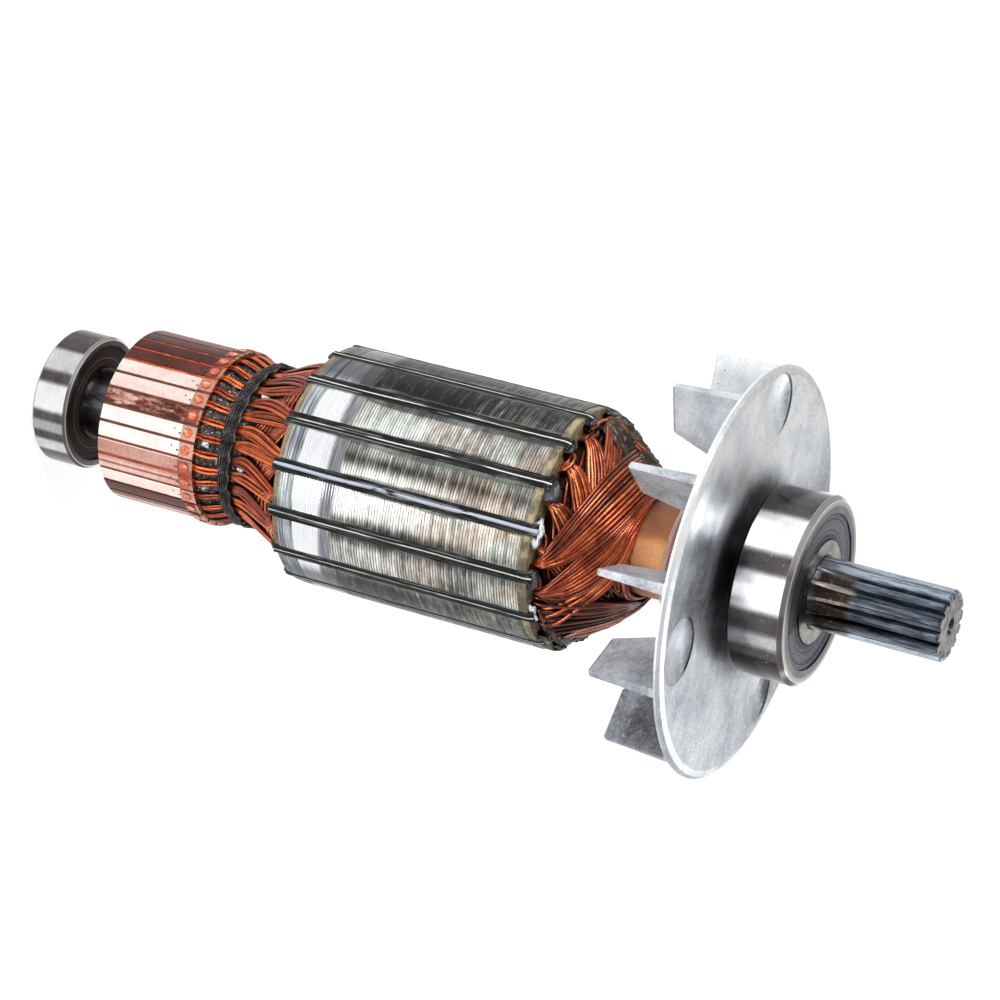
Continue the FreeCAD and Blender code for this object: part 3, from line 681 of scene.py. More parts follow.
def cast_alloy():
    """Die-cast alloy: pale grey, cloudy skin, flow marks, scratches and small pits, with painted light and
    shade: a dark centre that is a painted reflection, lighter and darker sides, shaded blades, a lighter
    hub and rim, and shaded dimples.
    """
    p = Paint("fan_alloy", metallic=0.85)
    angle, radius, z = p.polar()
    cloud = p.cloud(0.11, 4.0, 0.6)
    skin = p.cloud(1.4, 5.0, 0.75)
    flow = p.noise((1.0, 0.3, 1.0), 0.35, 4.0, 0.6, 1.2)
    tone = 0.66 + (cloud - 0.5) * 0.7
    tone += (skin - 0.5) * 0.42
    tone += (flow - 0.5) * 0.3
    grain = p.cloud(3.4, 3.0, 0.7)
    tone += (grain - 0.5) * 0.4
    face = p.range(z, Z_FAN_FACE - 1.5, Z_FAN_FACE - 1.2)
    # Painted reflection: the middle of the face is painted dark.
    centre = face * p.fall(radius, 13.0, 19.5)
    tone -= centre * 0.4
    # Painted light: the face is lighter round -75 degrees.
    lit_upper_side = p.near(angle, -75.0, 44.0, 34.0) * p.range(radius, 14.5, 20.0)
    tone += face * lit_upper_side * 0.26
    # Painted shade: the face is darker round -2 degrees.
    side = p.near(angle, -2.0, 8.0, 22.0) * p.range(radius, 18.0, 31.0, 1.0, 0.25)
    tone -= face * side * 0.26
    # Painted shade on the blades round 50 degrees and painted light round -96 degrees.
    blade = p.fall(z, Z_DISC, Z_DISC + 1.0) * p.range(radius, 13.0, 15.0)
    blade_shade = p.stripes(angle, 0.06, ((50.0, 12.0, 8.0, 0.2), (-96.0, 36.0, 14.0, -0.14)))
    tone -= blade * blade_shade
    # Painted light on the hub.
    hub = p.fall(z, Z_DISC, Z_DISC + 1.0) * p.range(radius, 14.0, 13.0)
    tone += hub * 0.4
    tone += p.fall(z, Z_BLADE_TIPS, Z_BLADE_TIPS + 0.35) * 0.3
    # Painted highlight on the rim round -4 degrees.
    rim = p.range(radius, 33.2, 33.6) * p.range(z, Z_FAN_FACE - 1.3, Z_FAN_FACE - 1.0)
    tone += rim * p.near(angle, -4.0, 14.0, 30.0) * 0.4
    # Painted shade: a darker patch on the face round -24 degrees.
    shaded_patch = p.near(angle, -24.0, 8.0, 10.0) * p.near(radius, 26.0, 2.4, 3.0)
    tone -= face * shaded_patch * 0.3
    x, y, _ = p.axes()
    for far, degrees in DIMPLES:
        spot = at(far, degrees, 0.0)
        dx, dy = x - spot.x, y - spot.y
        away = p.math("SQRT", dx * dx + dy * dy)
        inside = p.range(away, 5.9, 5.5) * face
        # Painted shade on one side of each dimple, painted light on the other, and a dark painted crescent
        # on its lip.
        aslant = dx + dy * 0.4
        tone -= inside * p.range(aslant, -2.2, -5.2) * 0.4
        tone += inside * p.range(aslant, -1.6, 1.4) * 0.2
        lip = p.near(away, 5.5, 0.14, 0.16) * face
        tone -= lip * p.range(aslant, -1.0, -4.0) * 0.45
    p.colour = p.ramp(tone, (0.0, 36, 34, 35), (0.25, 86, 85, 90), (0.45, 146, 149, 156),
                      (0.66, 196, 201, 207), (0.85, 224, 228, 232), (1.0, 246, 247, 248))
    line = p.fall(p.cells(0.17, 0.5, "DISTANCE_TO_EDGE"), 0.0, 0.012)
    line *= p.range(skin, 0.52, 0.6)
    p.over(line * 0.5, 240, 242, 244)
    pit = p.fall(p.cells(0.42), 0.06, 0.1)
    pit *= p.range(cloud, 0.5, 0.56)
    p.over(pit * 0.6, 84, 86, 92)
    p.bump(skin, 0.05)
    p.bump(grain, 0.03)
    p.bump(flow, 0.06)
    p.bump(pit * -1.0, 0.1)
    return p.shade(Roughness=p.range(skin, 0.3, 0.7, 0.34, 0.5))


def cord_fibre():
    """Waxed black cord, the twist of its yarn along each strand."""
    p = Paint("cord", roughness=0.5, Specular_IOR_Level=0.2)
    own = p.attribute("wire")
    twist = p.math("FRACT", p.attribute("lay"))
    fuzz = p.cloud(3.2, 4.0, 0.7)
    # Painted highlights: the crown of each twist is lighter, and the palest colours are painted glints.
    crown = p.range(abs(twist - 0.5), 0.5, 0.1)
    share = crown * 0.55 + fuzz * 0.5
    share += own * 0.12
    p.colour = p.ramp(share, (0.2, 6, 5, 5), (0.66, 14, 12, 12), (0.82, 44, 40, 41), (1.0, 146, 142, 142))
    p.bump(crown, 0.05)
    p.bump(fuzz, 0.05)
    return p.shade()


def plain(name, dark, light, roughness, scale=0.8, metallic=0.0, relief=0.03, gloss=0.4):
    """A finish with soft variation, for pieces that are mostly out of sight."""
    p = Paint(name, metallic=metallic, roughness=roughness, Specular_IOR_Level=gloss)
    grain = p.cloud(scale, 4.0, 0.6)
    p.bump(grain, relief)
    return p.shade(Base_Color=p.mix(p.range(grain, 0.3, 0.7), dark, light),
                   Roughness=p.range(grain, 0.3, 0.7, roughness - 0.08, roughness + 0.08))


# The rear ring's low face tone and faint face highlight paint its faces dark as painted shade.
REAR_RING = outer_ring_steel("rear_ring_steel", 0.16, REAR_RING_REFLECTIONS, 0.0, Z_COLLAR,
                             outer_r=12.0, chamfer=0.45, rim=1.6, face_tone=0.1, face_highlight=0.15)
FRONT_RING = outer_ring_steel("front_ring_steel", 0.16, FRONT_RING_REFLECTIONS, Z_FRONT_BEARING, Z_SPLINE,
                              outer_r=16.0, chamfer=0.75, rim=2.8, face_tone=0.5, face_highlight=0.7)
FRONT_INNER = inner_ring_steel("front_inner_steel", (150, 146, 142), (214, 210, 204), 0.85)
# The rear inner ring is the same steel as the front one, in darker colours: painted shade.
REAR_INNER = inner_ring_steel("rear_inner_steel", (54, 50, 48), (112, 106, 100), 0.0)
FRONT_SEAL = seal_rubber("front_seal_rubber", (116, 120, 130), (84, 88, 97), 9.2, 0.85)
REAR_SEAL = seal_rubber("rear_seal_rubber", (34, 22, 19), (52, 38, 33), 6.9, 0.0)
WIRE = enamel("coil_copper", (90, 32, 10), (168, 70, 29), (238, 128, 72))
# A darker copy of the wire's colours, for wires that lie under others: painted shade.
UNDER = enamel("coil_shade", (54, 18, 7), (104, 40, 18), (152, 70, 36))
LEAD = enamel("wire_enamel", (92, 30, 6), (176, 68, 20), (236, 118, 52))
# The layers under the wires, in a near-black copy of the copper: painted shade.
DEPTH_SHADE = plain("coil_depth_shade", (14, 6, 4), (54, 20, 9), 0.5, 0.7, relief=0.2, gloss=0.1)
RESIN_BLACK = strip_resin()
DUST = slit_dust()
TAB = dark_resin("tab_resin", (34, 35, 40), (84, 87, 96), 0.2, 0.4, 0.05)
RESIN_BROWN = dark_resin("brown_resin", (20, 13, 8), (82, 58, 36), 0.22, 0.45, 0.22)
RESIN_SILVER = plain("silver_resin", (150, 156, 164), (240, 244, 248), 0.3, 0.9, 0.4, 0.2)
CORD = cord_fibre()
FIBRE = fibre_board()
BALL_STEEL = plain("ball_steel", (150, 150, 152), (220, 220, 222), 0.12, 1.0, 1.0, 0.0)
CAGE = plain("cage_plastic", (120, 92, 50), (160, 128, 78), 0.5)
FINISHES = {
    "shaft": shaft_steel(),
    "commutator_bars": bar_copper(),
    "commutator_mica": mica(),
    "commutator_hub": plain("moulding", (22, 13, 10), (48, 32, 26), 0.45, relief=0.1),
    "commutator_bush": plain("bush_steel", (70, 70, 72), (130, 130, 134), 0.35, 1.2, 1.0),
    "fused_wire_ends": wire_end(),
    "lead_resin": lead_resin(),
    "core_laminations": core_steel(),
    "rear_end_plate": FIBRE,
    "front_end_plate": FIBRE,
    "slot_liners": plain("liner", (52, 48, 30), (98, 92, 62), 0.4),
    "slot_coils": DEPTH_SHADE,
    "insulating_tube": wound_tube(),
    "fan": cast_alloy(),
}
for end, outer, inner, seal in (("rear", REAR_RING, REAR_INNER, REAR_SEAL),
                                ("front", FRONT_RING, FRONT_INNER, FRONT_SEAL)):
    for piece_name, finish in (("outer_ring", outer), ("inner_ring", inner), ("rear_seal", seal),
                               ("front_seal", seal), ("balls", BALL_STEEL), ("cage", CAGE)):
        FINISHES[f"{end}_bearing_{piece_name}"] = finish


def dress(node, finish):
    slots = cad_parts[node].data.materials
    if len(slots) == 0:
        slots.append(finish)
    for i in range(len(slots)):
        slots[i] = finish


for node_name, finish in FINISHES.items():
    dress(node_name, finish)


# Geometry helpers
def smooth_path(points, count):
    """Catmull-Rom curve through the points, sampled count times."""
    out = []
    last = len(points) - 1
    for i in range(count):
        t = i * last / (count - 1)
        k = min(int(t), last - 1)
        f = t - k
        a = points[max(k - 1, 0)]
        b, c = points[k], points[k + 1]
        d = points[min(k + 2, last)]
        out.append(0.5 * (2 * b + (c - a) * f + (2 * a - 5 * b + 4 * c - d) * f * f
                          + (3 * b - a - 3 * c + d) * f * f * f))
    return out


def add_piece(name, mesh, finish):
    mesh.polygons.foreach_set("use_smooth", [True] * len(mesh.polygons))
    mesh.materials.append(finish)
    piece = bpy.data.objects.new(name, mesh)
    bpy.context.scene.collection.objects.link(piece)
    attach(piece, "rotor")
    return piece


def object_from(name, verts, faces, finish, values=None):
    mesh = bpy.data.meshes.new(name)
    mesh.from_pydata([v * MM for v in verts], [], faces)
    mesh.update()
    for key, numbers in (values or {}).items():
        attribute = mesh.attributes.new(key, "FLOAT", "POINT")
        attribute.data.foreach_set("value", numbers)
    return add_piece(name, mesh, finish)


def grid(start, rows, across, wrap=True, closed=False):
    """Quads between rows of points. wrap joins each row's ends, closed the last row to the first."""
    quads = []
    for i in range(rows if closed else rows - 1):
        low, high = start + i * across, start + (i + 1) % rows * across
        for k in range(across if wrap else across - 1):
            m = (k + 1) % across
            quads.append((low + k, low + m, high + m, high + k))
    return quads


def tubes(name, paths, radius, finish, sides=7, closed=False, lay_turn=0.0):
    """Round wires along paths, all in one mesh; each wire carries its own value for the enamel."""
    verts, faces, own, lay, crown = [], [], [], [], []
    for path in paths:
        share = rng.random()
        count = len(path)
        start = len(verts)
        side = None
        run = 0.0
        for i, point in enumerate(path):
            if closed:
                ahead, behind = path[(i + 1) % count], path[i - 1]
            else:
                ahead, behind = path[min(i + 1, count - 1)], path[max(i - 1, 0)]
            along = (ahead - behind).normalized()
            if side is None:
                side = Vector((point.x, point.y, 0)).normalized()
            side = (side - along * side.dot(along)).normalized()
            other = along.cross(side)
            if i:
                run += (point - path[i - 1]).length
            for k in range(sides):
                a = 2 * math.pi * k / sides
                verts.append(point + radius * (side * math.cos(a) + other * math.sin(a)))
                own.append(share)
                lay.append(run * lay_turn + k / sides)
                crown.append(math.cos(a))
        faces += [(b, c, d, a) for a, b, c, d in grid(start, count, sides, closed=closed)]
        if not closed:
            faces.append(tuple(start + k for k in range(sides)))
            end = start + (count - 1) * sides
            faces.append(tuple(end + k for k in reversed(range(sides))))
    return object_from(name, verts, faces, finish, values={"wire": own, "lay": lay, "crown": crown})


class Dome:
    """A surface of revolution; v runs from 0 to 1 along its profile, h is the height above it."""

    def __init__(self, profile):
        self.profile = profile
        self.lengths = [0.0]
        for (r0, z0), (r1, z1) in zip(profile, profile[1:]):
            self.lengths.append(self.lengths[-1] + math.hypot(r1 - r0, z1 - z0))

    def section(self, v):
        target = max(0.0, min(1.0, v)) * self.lengths[-1]
        for i in range(len(self.profile) - 1):
            if target <= self.lengths[i + 1] or i == len(self.profile) - 2:
                f = (target - self.lengths[i]) / (self.lengths[i + 1] - self.lengths[i])
                (r0, z0), (r1, z1) = self.profile[i], self.profile[i + 1]
                return r0 + f * (r1 - r0), z0 + f * (z1 - z0)

    def point(self, degrees, v, h=0.0):
        v = max(0.0, min(1.0, v))
        r, z = self.section(v)
        r0, z0 = self.section(v - 0.06)
        r1, z1 = self.section(v + 0.06)
        length = math.hypot(r1 - r0, z1 - z0)
        out_r, out_z = (z1 - z0) / length, (r0 - r1) / length
        return at(r + h * out_r, degrees, z + h * abs(out_z))

    def skin(self, name, drop, finish, slot, wave=0.0, around=192, rows=26):
        """A closed-looking surface under the wires, with a slight unevenness."""
        verts = []
        for i in range(rows):
            for k in range(around):
                degrees = 360.0 * k / around
                rough = noise.noise(at(6.0, degrees, 9.0 * i / rows)) * wave
                verts.append(self.point(degrees, i / (rows - 1), rough - drop))
        return object_from(name, verts, grid(0, rows, around), finish)


# Front end winding
FRONT = Dome([(18.2, 102.9), (19.0, 104.2), (18.7, 105.4), (17.2, 107.1), (15.8, 109.0),
              (14.6, 111.0), (12.9, 113.0), (10.8, 114.7), (8.9, 115.9)])


def coil_bundle(start, turn, count, low, high, power, height, lift=0.5, steps=26, reach=1.0):
    """End turns of one coil: they leave a slot together, spread out over the dome and meet again.
    low and high are how far up the dome the first and last wire run, power how fast they rise."""
    paths = []
    for i in range(count):
        u = i / max(count - 1, 1)
        top = low + u * (high - low) + rng.uniform(-0.012, 0.012)
        rise = power[0] + u * (power[1] - power[0])
        off = (u - 0.5) * 4.6 * (-1 if turn > 0 else 1)
        stack = height + rng.uniform(-0.12, 0.12)
        points = []
        for k in range(11):
            s = reach * k / 10.0
            climb = math.sin(math.pi * min(max(s, 0.0), 1.0)) ** rise
            v = 0.035 + (top - 0.035) * climb
            spread = math.exp(-9.0 * s)
            pile = (lift * math.cos(6.0 * u) - 0.9) * spread
            wander = 0.12 * noise.noise(Vector((start, i * 0.7, 3.0 * s)))
            degrees = start + turn * s + off * (0.35 + 0.65 * spread)
            points.append(FRONT.point(degrees, v, stack + pile + wander))
        points.insert(0, at(17.6 - 0.5 * u, start + off * 0.5, 102.2))
        paths.append(smooth_path(points, steps))
    return paths


def between(first, last, count, height, turn=0.0, steps=30, sink=0.0):
    """Wires that lie side by side between two guide curves of (angle, share of the dome);
    sink is how much deeper they run at their far end."""
    paths = []
    for i in range(count):
        u = i / (count - 1)
        stack = height + rng.uniform(-0.07, 0.07)
        lift = (0.3 if i % 2 else -0.3) + rng.uniform(-0.1, 0.1)
        points = []
        for k, ((t0, v0), (t1, v1)) in enumerate(zip(first, last)):
            near_slot = (1.0, 0.4, 0.1, 0.0)[min(k, 3)]
            deeper = sink * k / (len(first) - 1)
            wander = 0.08 * noise.noise(Vector((t0 + turn, i * 0.7, 2.0)))
            degrees = t0 + u * (t1 - t0) + turn
            v = v0 + u * (v1 - v0) + rng.uniform(-0.004, 0.004)
            points.append(FRONT.point(degrees, v, stack + lift * near_slot - deeper + wander))
        begin = first[0][0] + u * (last[0][0] - first[0][0]) + turn
        points.insert(0, at(17.5 - 0.6 * u, begin, 102.0))
        paths.append(smooth_path(points, steps))
    return paths


# Edges of the coils' end turns as (degrees, share of the dome): the first and the last wire
LONG = (((15, 0.04), (1, 0.22), (-18, 0.36), (-43, 0.46), (-66, 0.5), (-90, 0.46), (-118, 0.3),
         (-140, 0.04)),
        ((17, 0.12), (14.5, 0.34), (4, 0.55), (-12, 0.74), (-34, 0.87), (-66, 0.93), (-110, 0.85),
         (-145, 0.3)))
STEEP = (((32, 0.09), (20, 0.34), (7, 0.52), (-8, 0.7), (-26, 0.82), (-50, 0.9), (-90, 0.85), (-120, 0.1)),
         ((33.5, 0.11), (38, 0.33), (34, 0.54), (24, 0.74), (10, 0.87), (-12, 0.94), (-60, 0.98),
          (-110, 0.6)))
SHORT = (((45, 0.15), (41, 0.42), (34, 0.6), (25, 0.78), (12, 0.9), (-8, 0.97), (-40, 1.0)),
         ((60, 0.15), (53, 0.45), (43, 0.66), (33, 0.83), (19, 0.94), (0, 1.0), (-30, 1.0)))
BELLY = (((38, 0.06), (44, 0.4), (51, 0.68), (66, 0.87), (88, 0.93), (120, 0.8), (150, 0.05)),
         ((64, 0.1), (74, 0.46), (83, 0.7), (94, 0.84), (112, 0.86), (138, 0.66), (166, 0.1)))
FAN = (((7, 0.02), (7, 0.18), (10.5, 0.32), (20, 0.44), (40, 0.55), (62, 0.6)),
       ((8.5, 0.02), (14, 0.15), (22, 0.26), (33, 0.36), (48, 0.45), (66, 0.5)))

# The same coils again on the side that the photo hides: count, height, degrees further round
FAR_SIDE = ((LONG, 11, -0.1, (216.0, 255.0)), (STEEP, 10, -0.5, (190.0, 230.0)),
            (BELLY, 10, -0.35, (62.0, 108.0)))


def front_winding():
    """Deep and top layers of wire over the dome, then a collar of wires round the tube."""
    under, top = [], []
    for k in range(SLOTS):
        slot_at = k * SLOT_STEP
        under += coil_bundle(slot_at + 4.0 + rng.uniform(-1, 1), 150.0, 6, 0.34, 0.92,
                             (0.62, 0.42), -1.35, steps=22, reach=0.62)
        top += between(*FAN, 6, -0.3, slot_at + rng.uniform(-1.0, 1.0), 22, 1.3)
        for i in range(2):
            first = slot_at + 4.0 + rng.uniform(-1.5, 1.5)
            high = rng.uniform(0.05, 0.13)
            arc = [(first - 4.0, 0.0), (first - 5.0, 0.5 * high), (first - 2.0, high), (first + 3.0, high),
                   (first + 6.0, 0.6 * high), (first + 6.5, 0.0)]
            height = rng.uniform(-0.6, 0.1)
            top.append(smooth_path([FRONT.point(t, v, height + 0.1 * v) for t, v in arc], 16))
    top += between(*LONG, 11, 0.2, sink=1.3) + between(*STEEP, 10, -0.2)
    top += between(*SHORT, 5, -0.5)
    under += between(*BELLY, 12, -0.2, sink=0.6)
    for i in range(2):
        twist = []
        for j in range(7):
            phase = 1.6 * j + 3.1 * i
            twist.append(FRONT.point(-62.0 - 5.5 * j, 0.07 + 0.02 * math.sin(phase),
                                     0.35 + 0.25 * math.cos(phase)))
        top.append(smooth_path(twist, 40))
    for guides, count, height, turns in FAR_SIDE:
        for turn in turns:
            top += between(*guides, count, height, turn)
    collar = []
    for i in range(7):
        r = 8.7 + 0.62 * (i % 3)
        z = 115.2 - 0.55 * (i % 3) - 0.3 * (i // 3)
        begin = rng.uniform(0, 360)
        sweep = rng.uniform(150, 300)
        points = [at(r + 0.25 * math.sin(j * 1.3 + i), begin + sweep * j / 12,
                     z + 0.3 * math.sin(j * 0.9 + 2 * i))
                  for j in range(13)]
        collar.append(smooth_path(points, 40))
    FRONT.skin("front_winding_depth", 1.75, DEPTH_SHADE, "coil_copper", 0.5)
    tubes("front_winding_under", under, WIRE_D / 2, UNDER, 7)
    wires = tubes("front_winding_wires", top + collar, WIRE_D / 2, WIRE, 8)
    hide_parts("front_end_winding")


front_winding()


# Rear end winding and leads
REAR = Dome([(12.6, 44.4), (13.5, 45.8), (14.5, 47.4), (15.5, 49.2), (16.6, 51.2), (17.4, 53.0),
             (17.9, 54.8)])


def rear_winding():
    paths = []
    for k in range(SLOTS):
        slot_at = k * SLOT_STEP
        for turn, height, count in ((-46.0, -0.9, 7), (44.0, -0.35, 6)):
            for i in range(count):
                u = i / (count - 1)
                low = 0.02 + 0.5 * u
                off = (u - 0.5) * 4.0
                points = []
                for j in range(8):
                    s = j / 7.0
                    v = 1.0 - (1.0 - low) * math.sin(math.pi * 0.5 * s) ** 0.85
                    bend = turn * s ** 1.35
                    points.append(REAR.point(slot_at + off + bend, v, height + rng.uniform(-0.1, 0.1)))
                paths.append(smooth_path(points, 16))
    for k in range(SLOTS):
        if k % 3 == 0:
            continue
        middle = k * SLOT_STEP + 9.0
        for i in range(5):
            low = 0.45 + 0.1 * i
            points = []
            for j in range(9):
                turn = math.pi * j / 8
                share = 0.96 - (0.96 - low) * math.sin(turn)
                points.append(REAR.point(middle + 13.0 * math.cos(turn), share, 0.15 + 0.12 * (i % 2)))
            paths.append(smooth_path(points, 18))
    REAR.skin("rear_winding_depth", 1.9, DEPTH_SHADE, "coil_copper", 0.5)
    wires = tubes("rear_winding_wires", paths, WIRE_D / 2 * 0.94, WIRE, 6)
    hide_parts("rear_end_winding")


def leads():
    """Two wires from every riser under the cord, and the coil ends that bend over to the next slot."""
    paths = []
    for n in range(BARS):
        bar_at = BAR_PHASE + n * BAR_STEP
        slot_at = math.ceil(bar_at / SLOT_STEP) * SLOT_STEP
        far = slot_at - bar_at > 0.4 * SLOT_STEP
        bend = slot_at - bar_at - (2.6 if far else -1.0)
        sway = rng.uniform(-1.0, 1.0)
        bow = rng.uniform(-1.3, 1.3)
        hump = rng.uniform(0.1, 0.5) + (0.3 if far else 0.0)
        for side in (-1, 1):
            w = side * 1.32 + rng.uniform(-0.25, 0.25)
            points = [at(14.6, bar_at + 0.8 * w, Z_RISER_END - 0.5),
                      at(14.75, bar_at + w + 0.3 * bow, Z_RISER_END + 0.9),
                      at(14.2, bar_at + 1.15 * w + bow, Z_RISER_END + 2.5),
                      at(13.66, bar_at + w + 0.8 * bow, Z_CORD - 0.7),
                      at(13.62, bar_at + 0.9 * w + 0.5 * bow, Z_CORD + 2.2)]
            paths.append(smooth_path(points, 18))
        for i in range(5):
            shift = (i - 2) * 1.75 + rng.uniform(-0.35, 0.35)
            low = 0.28 * (i % 2) + rng.uniform(0.0, 0.12)
            points = [at(13.58, bar_at + 0.5 * shift + 0.5 * bow, Z_CORD + 0.6),
                      at(13.62, bar_at + 0.7 * shift + 0.5 * bow, Z_CORD + 2.4),
                      at(14.15 + 0.6 * hump - low, bar_at + shift + 0.05 * bend + sway, Z_CORD + 4.8),
                      at(15.15 + hump - low, bar_at + shift + 0.28 * bend + sway, Z_CORD + 7.5),
                      at(16.25 + hump - low, bar_at + 0.9 * shift + 0.62 * bend + 0.6 * sway,
                         Z_CORD + 10.2),
                      at(17.2 + 0.5 * hump - low, bar_at + 0.7 * shift + 0.9 * bend, Z_CORD + 12.6),
                      at(17.5 + 0.3 * hump - low, bar_at + 0.45 * shift + bend, Z_PLATE_REAR + 0.2)]
            paths.append(smooth_path(points, 28))
    wires = tubes("bar_leads", paths, LEAD_D / 2, LEAD, 7)
    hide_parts("lead_wires")


def sine(degrees):
    return math.sin(math.radians(degrees))


def binding_cord():
    """Turns of cord that sag between the leads, and two ends that cross them."""
    paths = []
    for i in range(CORD_TURNS):
        ring = []
        for k in range(120):
            degrees = 3.0 * k
            sway = 0.42 * sine(degrees + 40) + 0.22 * sine(3 * degrees + 25 * i)
            tilt = 0.4 * (1.0 + math.cos(math.radians(degrees - 25.0)))
            z = Z_CORD + 0.4 + 0.38 * i + sway * 0.6 - tilt
            sag = 0.13 * sine(BARS * degrees / 2.0 + 70 * i)
            ring.append(at(CORD_RING_R + sag + 0.1 * noise.noise(at(5, degrees, 3.0 * i)), degrees, z))
        paths.append(ring)
    cord = tubes("cord_strands", paths, CORD_D / 2, CORD, 8, closed=True, lay_turn=0.3)
    crossing = []
    for degrees, lean in ((-88.0, 7.0), (148.0, -8.0)):
        points = [at(14.62 if 0 < j < 5 else 14.3, degrees + lean * (j / 5.0 - 0.5),
                     Z_CORD - 0.3 + 0.6 * j)
                  for j in range(6)]
        crossing.append(smooth_path(points, 14))
    tubes("cord_end", crossing, 0.3, CORD, 8, lay_turn=0.3)
    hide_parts("binding_cord")


rear_winding()
leads()
binding_cord()


# Resin
def blob(name, centre, size, finish, seed, roughness):
    """A lump of set resin: a sphere drawn out along its own axes and roughened."""
    mesh = bpy.data.meshes.new(name)
    bm = bmesh.new()
    bmesh.ops.create_icosphere(bm, subdivisions=3, radius=1.0)
    out = Vector((centre.x, centre.y, 0)).normalized()
    round_ = Vector((0, 0, 1)).cross(out)
    for v in bm.verts:
        grow = 1.0 + roughness * noise.noise(v.co * 1.7 + Vector((seed, seed * 0.7, 0)))
        co = v.co * grow
        along = Vector((0, 0, co.z * size[2]))
        v.co = (centre + out * co.x * size[0] + round_ * co.y * size[1] + along) * MM
    bm.to_mesh(mesh)
    bm.free()
    return add_piece(name, mesh, finish)


# Half of a strip's section from its crest to its edge: across, radius, share of the way to the edge
STRIP_FLANK = ((0.0, 21.08, 0.0), (0.12, 21.05, 0.1), (0.34, 20.9, 0.4), (0.55, 20.82, 0.6),
               (0.72, 20.93, 0.75), (0.9, 20.95, 0.95), (1.04, 20.78, 1.0))
SLIT_SECTION = ((-0.25, 0.0), (-0.08, 0.09), (0.08, 0.09), (0.25, 0.0))     # across, below the copper


def slot_strips():
    """Wedges in the slot mouths under varnish: a bead along each edge and a valley between them."""
    verts, faces, part = [], [], []
    rows = 150
    section = [(-y, r, share) for y, r, share in reversed(STRIP_FLANK[1:])]
    section += [*STRIP_FLANK, (1.0, 20.2, 1.0), (-1.0, 20.2, 1.0)]
    sides = len(section)
    z0, z1 = Z_PLATE_REAR - 0.7, Z_PLATE_FRONT + 0.9
    for k in range(SLOTS):
        start = len(verts)
        slot_at = k * SLOT_STEP
        for i in range(rows):
            z = z0 + (z1 - z0) * i / (rows - 1)
            lean = 0.12 * noise.noise(Vector((k * 3.1, z * 0.1, 1.0)))
            wide = 1.0 + 0.1 * noise.noise(Vector((k * 2.3, z * 0.3, 4.0)))
            front = max(0.0, (z - Z_PLATE_FRONT + 0.6) / 2.1)
            wide *= 1.0 + 0.35 * front
            sink = 0.7 * front ** 2
            for y, r, place in section:
                bead = 0.05 * noise.noise(Vector((k * 5.0 + y, z * 0.5, 8.0)))
                verts.append(at(r + bead - sink, slot_at, z) + at(1, slot_at + 90, 0) * (y * wide + lean))
                part.append(place)
        faces += grid(start, rows, sides)
        faces.append(tuple(start + j for j in reversed(range(sides))))
        end = start + (rows - 1) * sides
        faces.append(tuple(end + j for j in range(sides)))
    strips = object_from("slot_strips", verts, faces, RESIN_BLACK,
                         values={"part": part})
    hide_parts("slot_wedges")


def slit_filling():
    """Dust and varnish nearly level with the bars, one strip in each slit."""
    verts, faces = [], []
    rows = 12
    z0, z1 = Z_BARS + 0.15, Z_RISER_END - 0.1
    for k in range(BARS):
        angle = BAR_PHASE + (k + 0.5) * BAR_STEP
        start = len(verts)
        for i in range(rows):
            z = z0 + (z1 - z0) * i / (rows - 1)
            r = 15.24 if z < Z_RISER else 15.52
            for y, drop in SLIT_SECTION:
                verts.append(at(r - drop, angle, z) + at(y, angle + 90, 0))
        faces += grid(start, rows, len(SLIT_SECTION), wrap=False)
    object_from("slit_filling", verts, faces, DUST)


def crust(name, degrees, sweep, low, high, seed):
    """Lumpy varnish pooled over the wires where they leave the slots, thin at its edges."""
    verts = []
    across, up = int(sweep * 1.5), 26
    for i in range(up):
        for k in range(across):
            a, b = k / (across - 1), i / (up - 1)
            edge = min(a, 1 - a) * 5 * min(1.0, b * 4, (1 - b) * 2.6)
            spot = at(19.0, degrees + sweep * (a - 0.5), 103.0 + 6 * b)
            grain = noise.noise(spot * 1.3 + Vector((seed, 0, 0))) * 0.55 + noise.noise(spot * 3.0) * 0.3
            lift = 0.5 * min(1.0, edge) + grain - 0.55 * (1.0 - min(1.0, edge)) - 0.1
            lift -= 1.1 * max(0.0, low + b * (high - low) - 0.4)
            verts.append(FRONT.point(degrees + sweep * (a - 0.5), low + b * (high - low), lift))
    return object_from(name, verts, grid(0, up, across, wrap=False), RESIN_BROWN)


# Resin at the front slot mouths: slot number, shift in degrees, shift in z, size, silver or not
MOUTHS = {0: (1.0, 0.7, (0.55, 2.0, 0.95), True), 1: (1.5, 0.5, (0.45, 1.9, 1.15), False),
          2: (-1.0, 0.4, (0.5, 1.8, 0.8), True), 15: (2.6, 0.8, (0.4, 1.9, 1.7), False),
          14: (1.0, 0.5, (0.4, 1.0, 1.2), False), 13: (0.0, 0.4, (0.5, 1.2, 1.3), False)}
# Varnish pooled on the winding: middle and width in degrees, share of the dome that it reaches
CRUSTS = ((72, 44, 0.2), (112, 30, 0.2), (-96, 48, 0.46), (-108, 36, 0.84), (-140, 30, 0.25),
          (170, 34, 0.25))
# Pale flecks of resin between the leads: degrees, height
FLECKS = ((2.4, 37.2), (35, 37.0), (-42, 44.6), (14, 44.3), (120, 37.4), (205, 44.4))


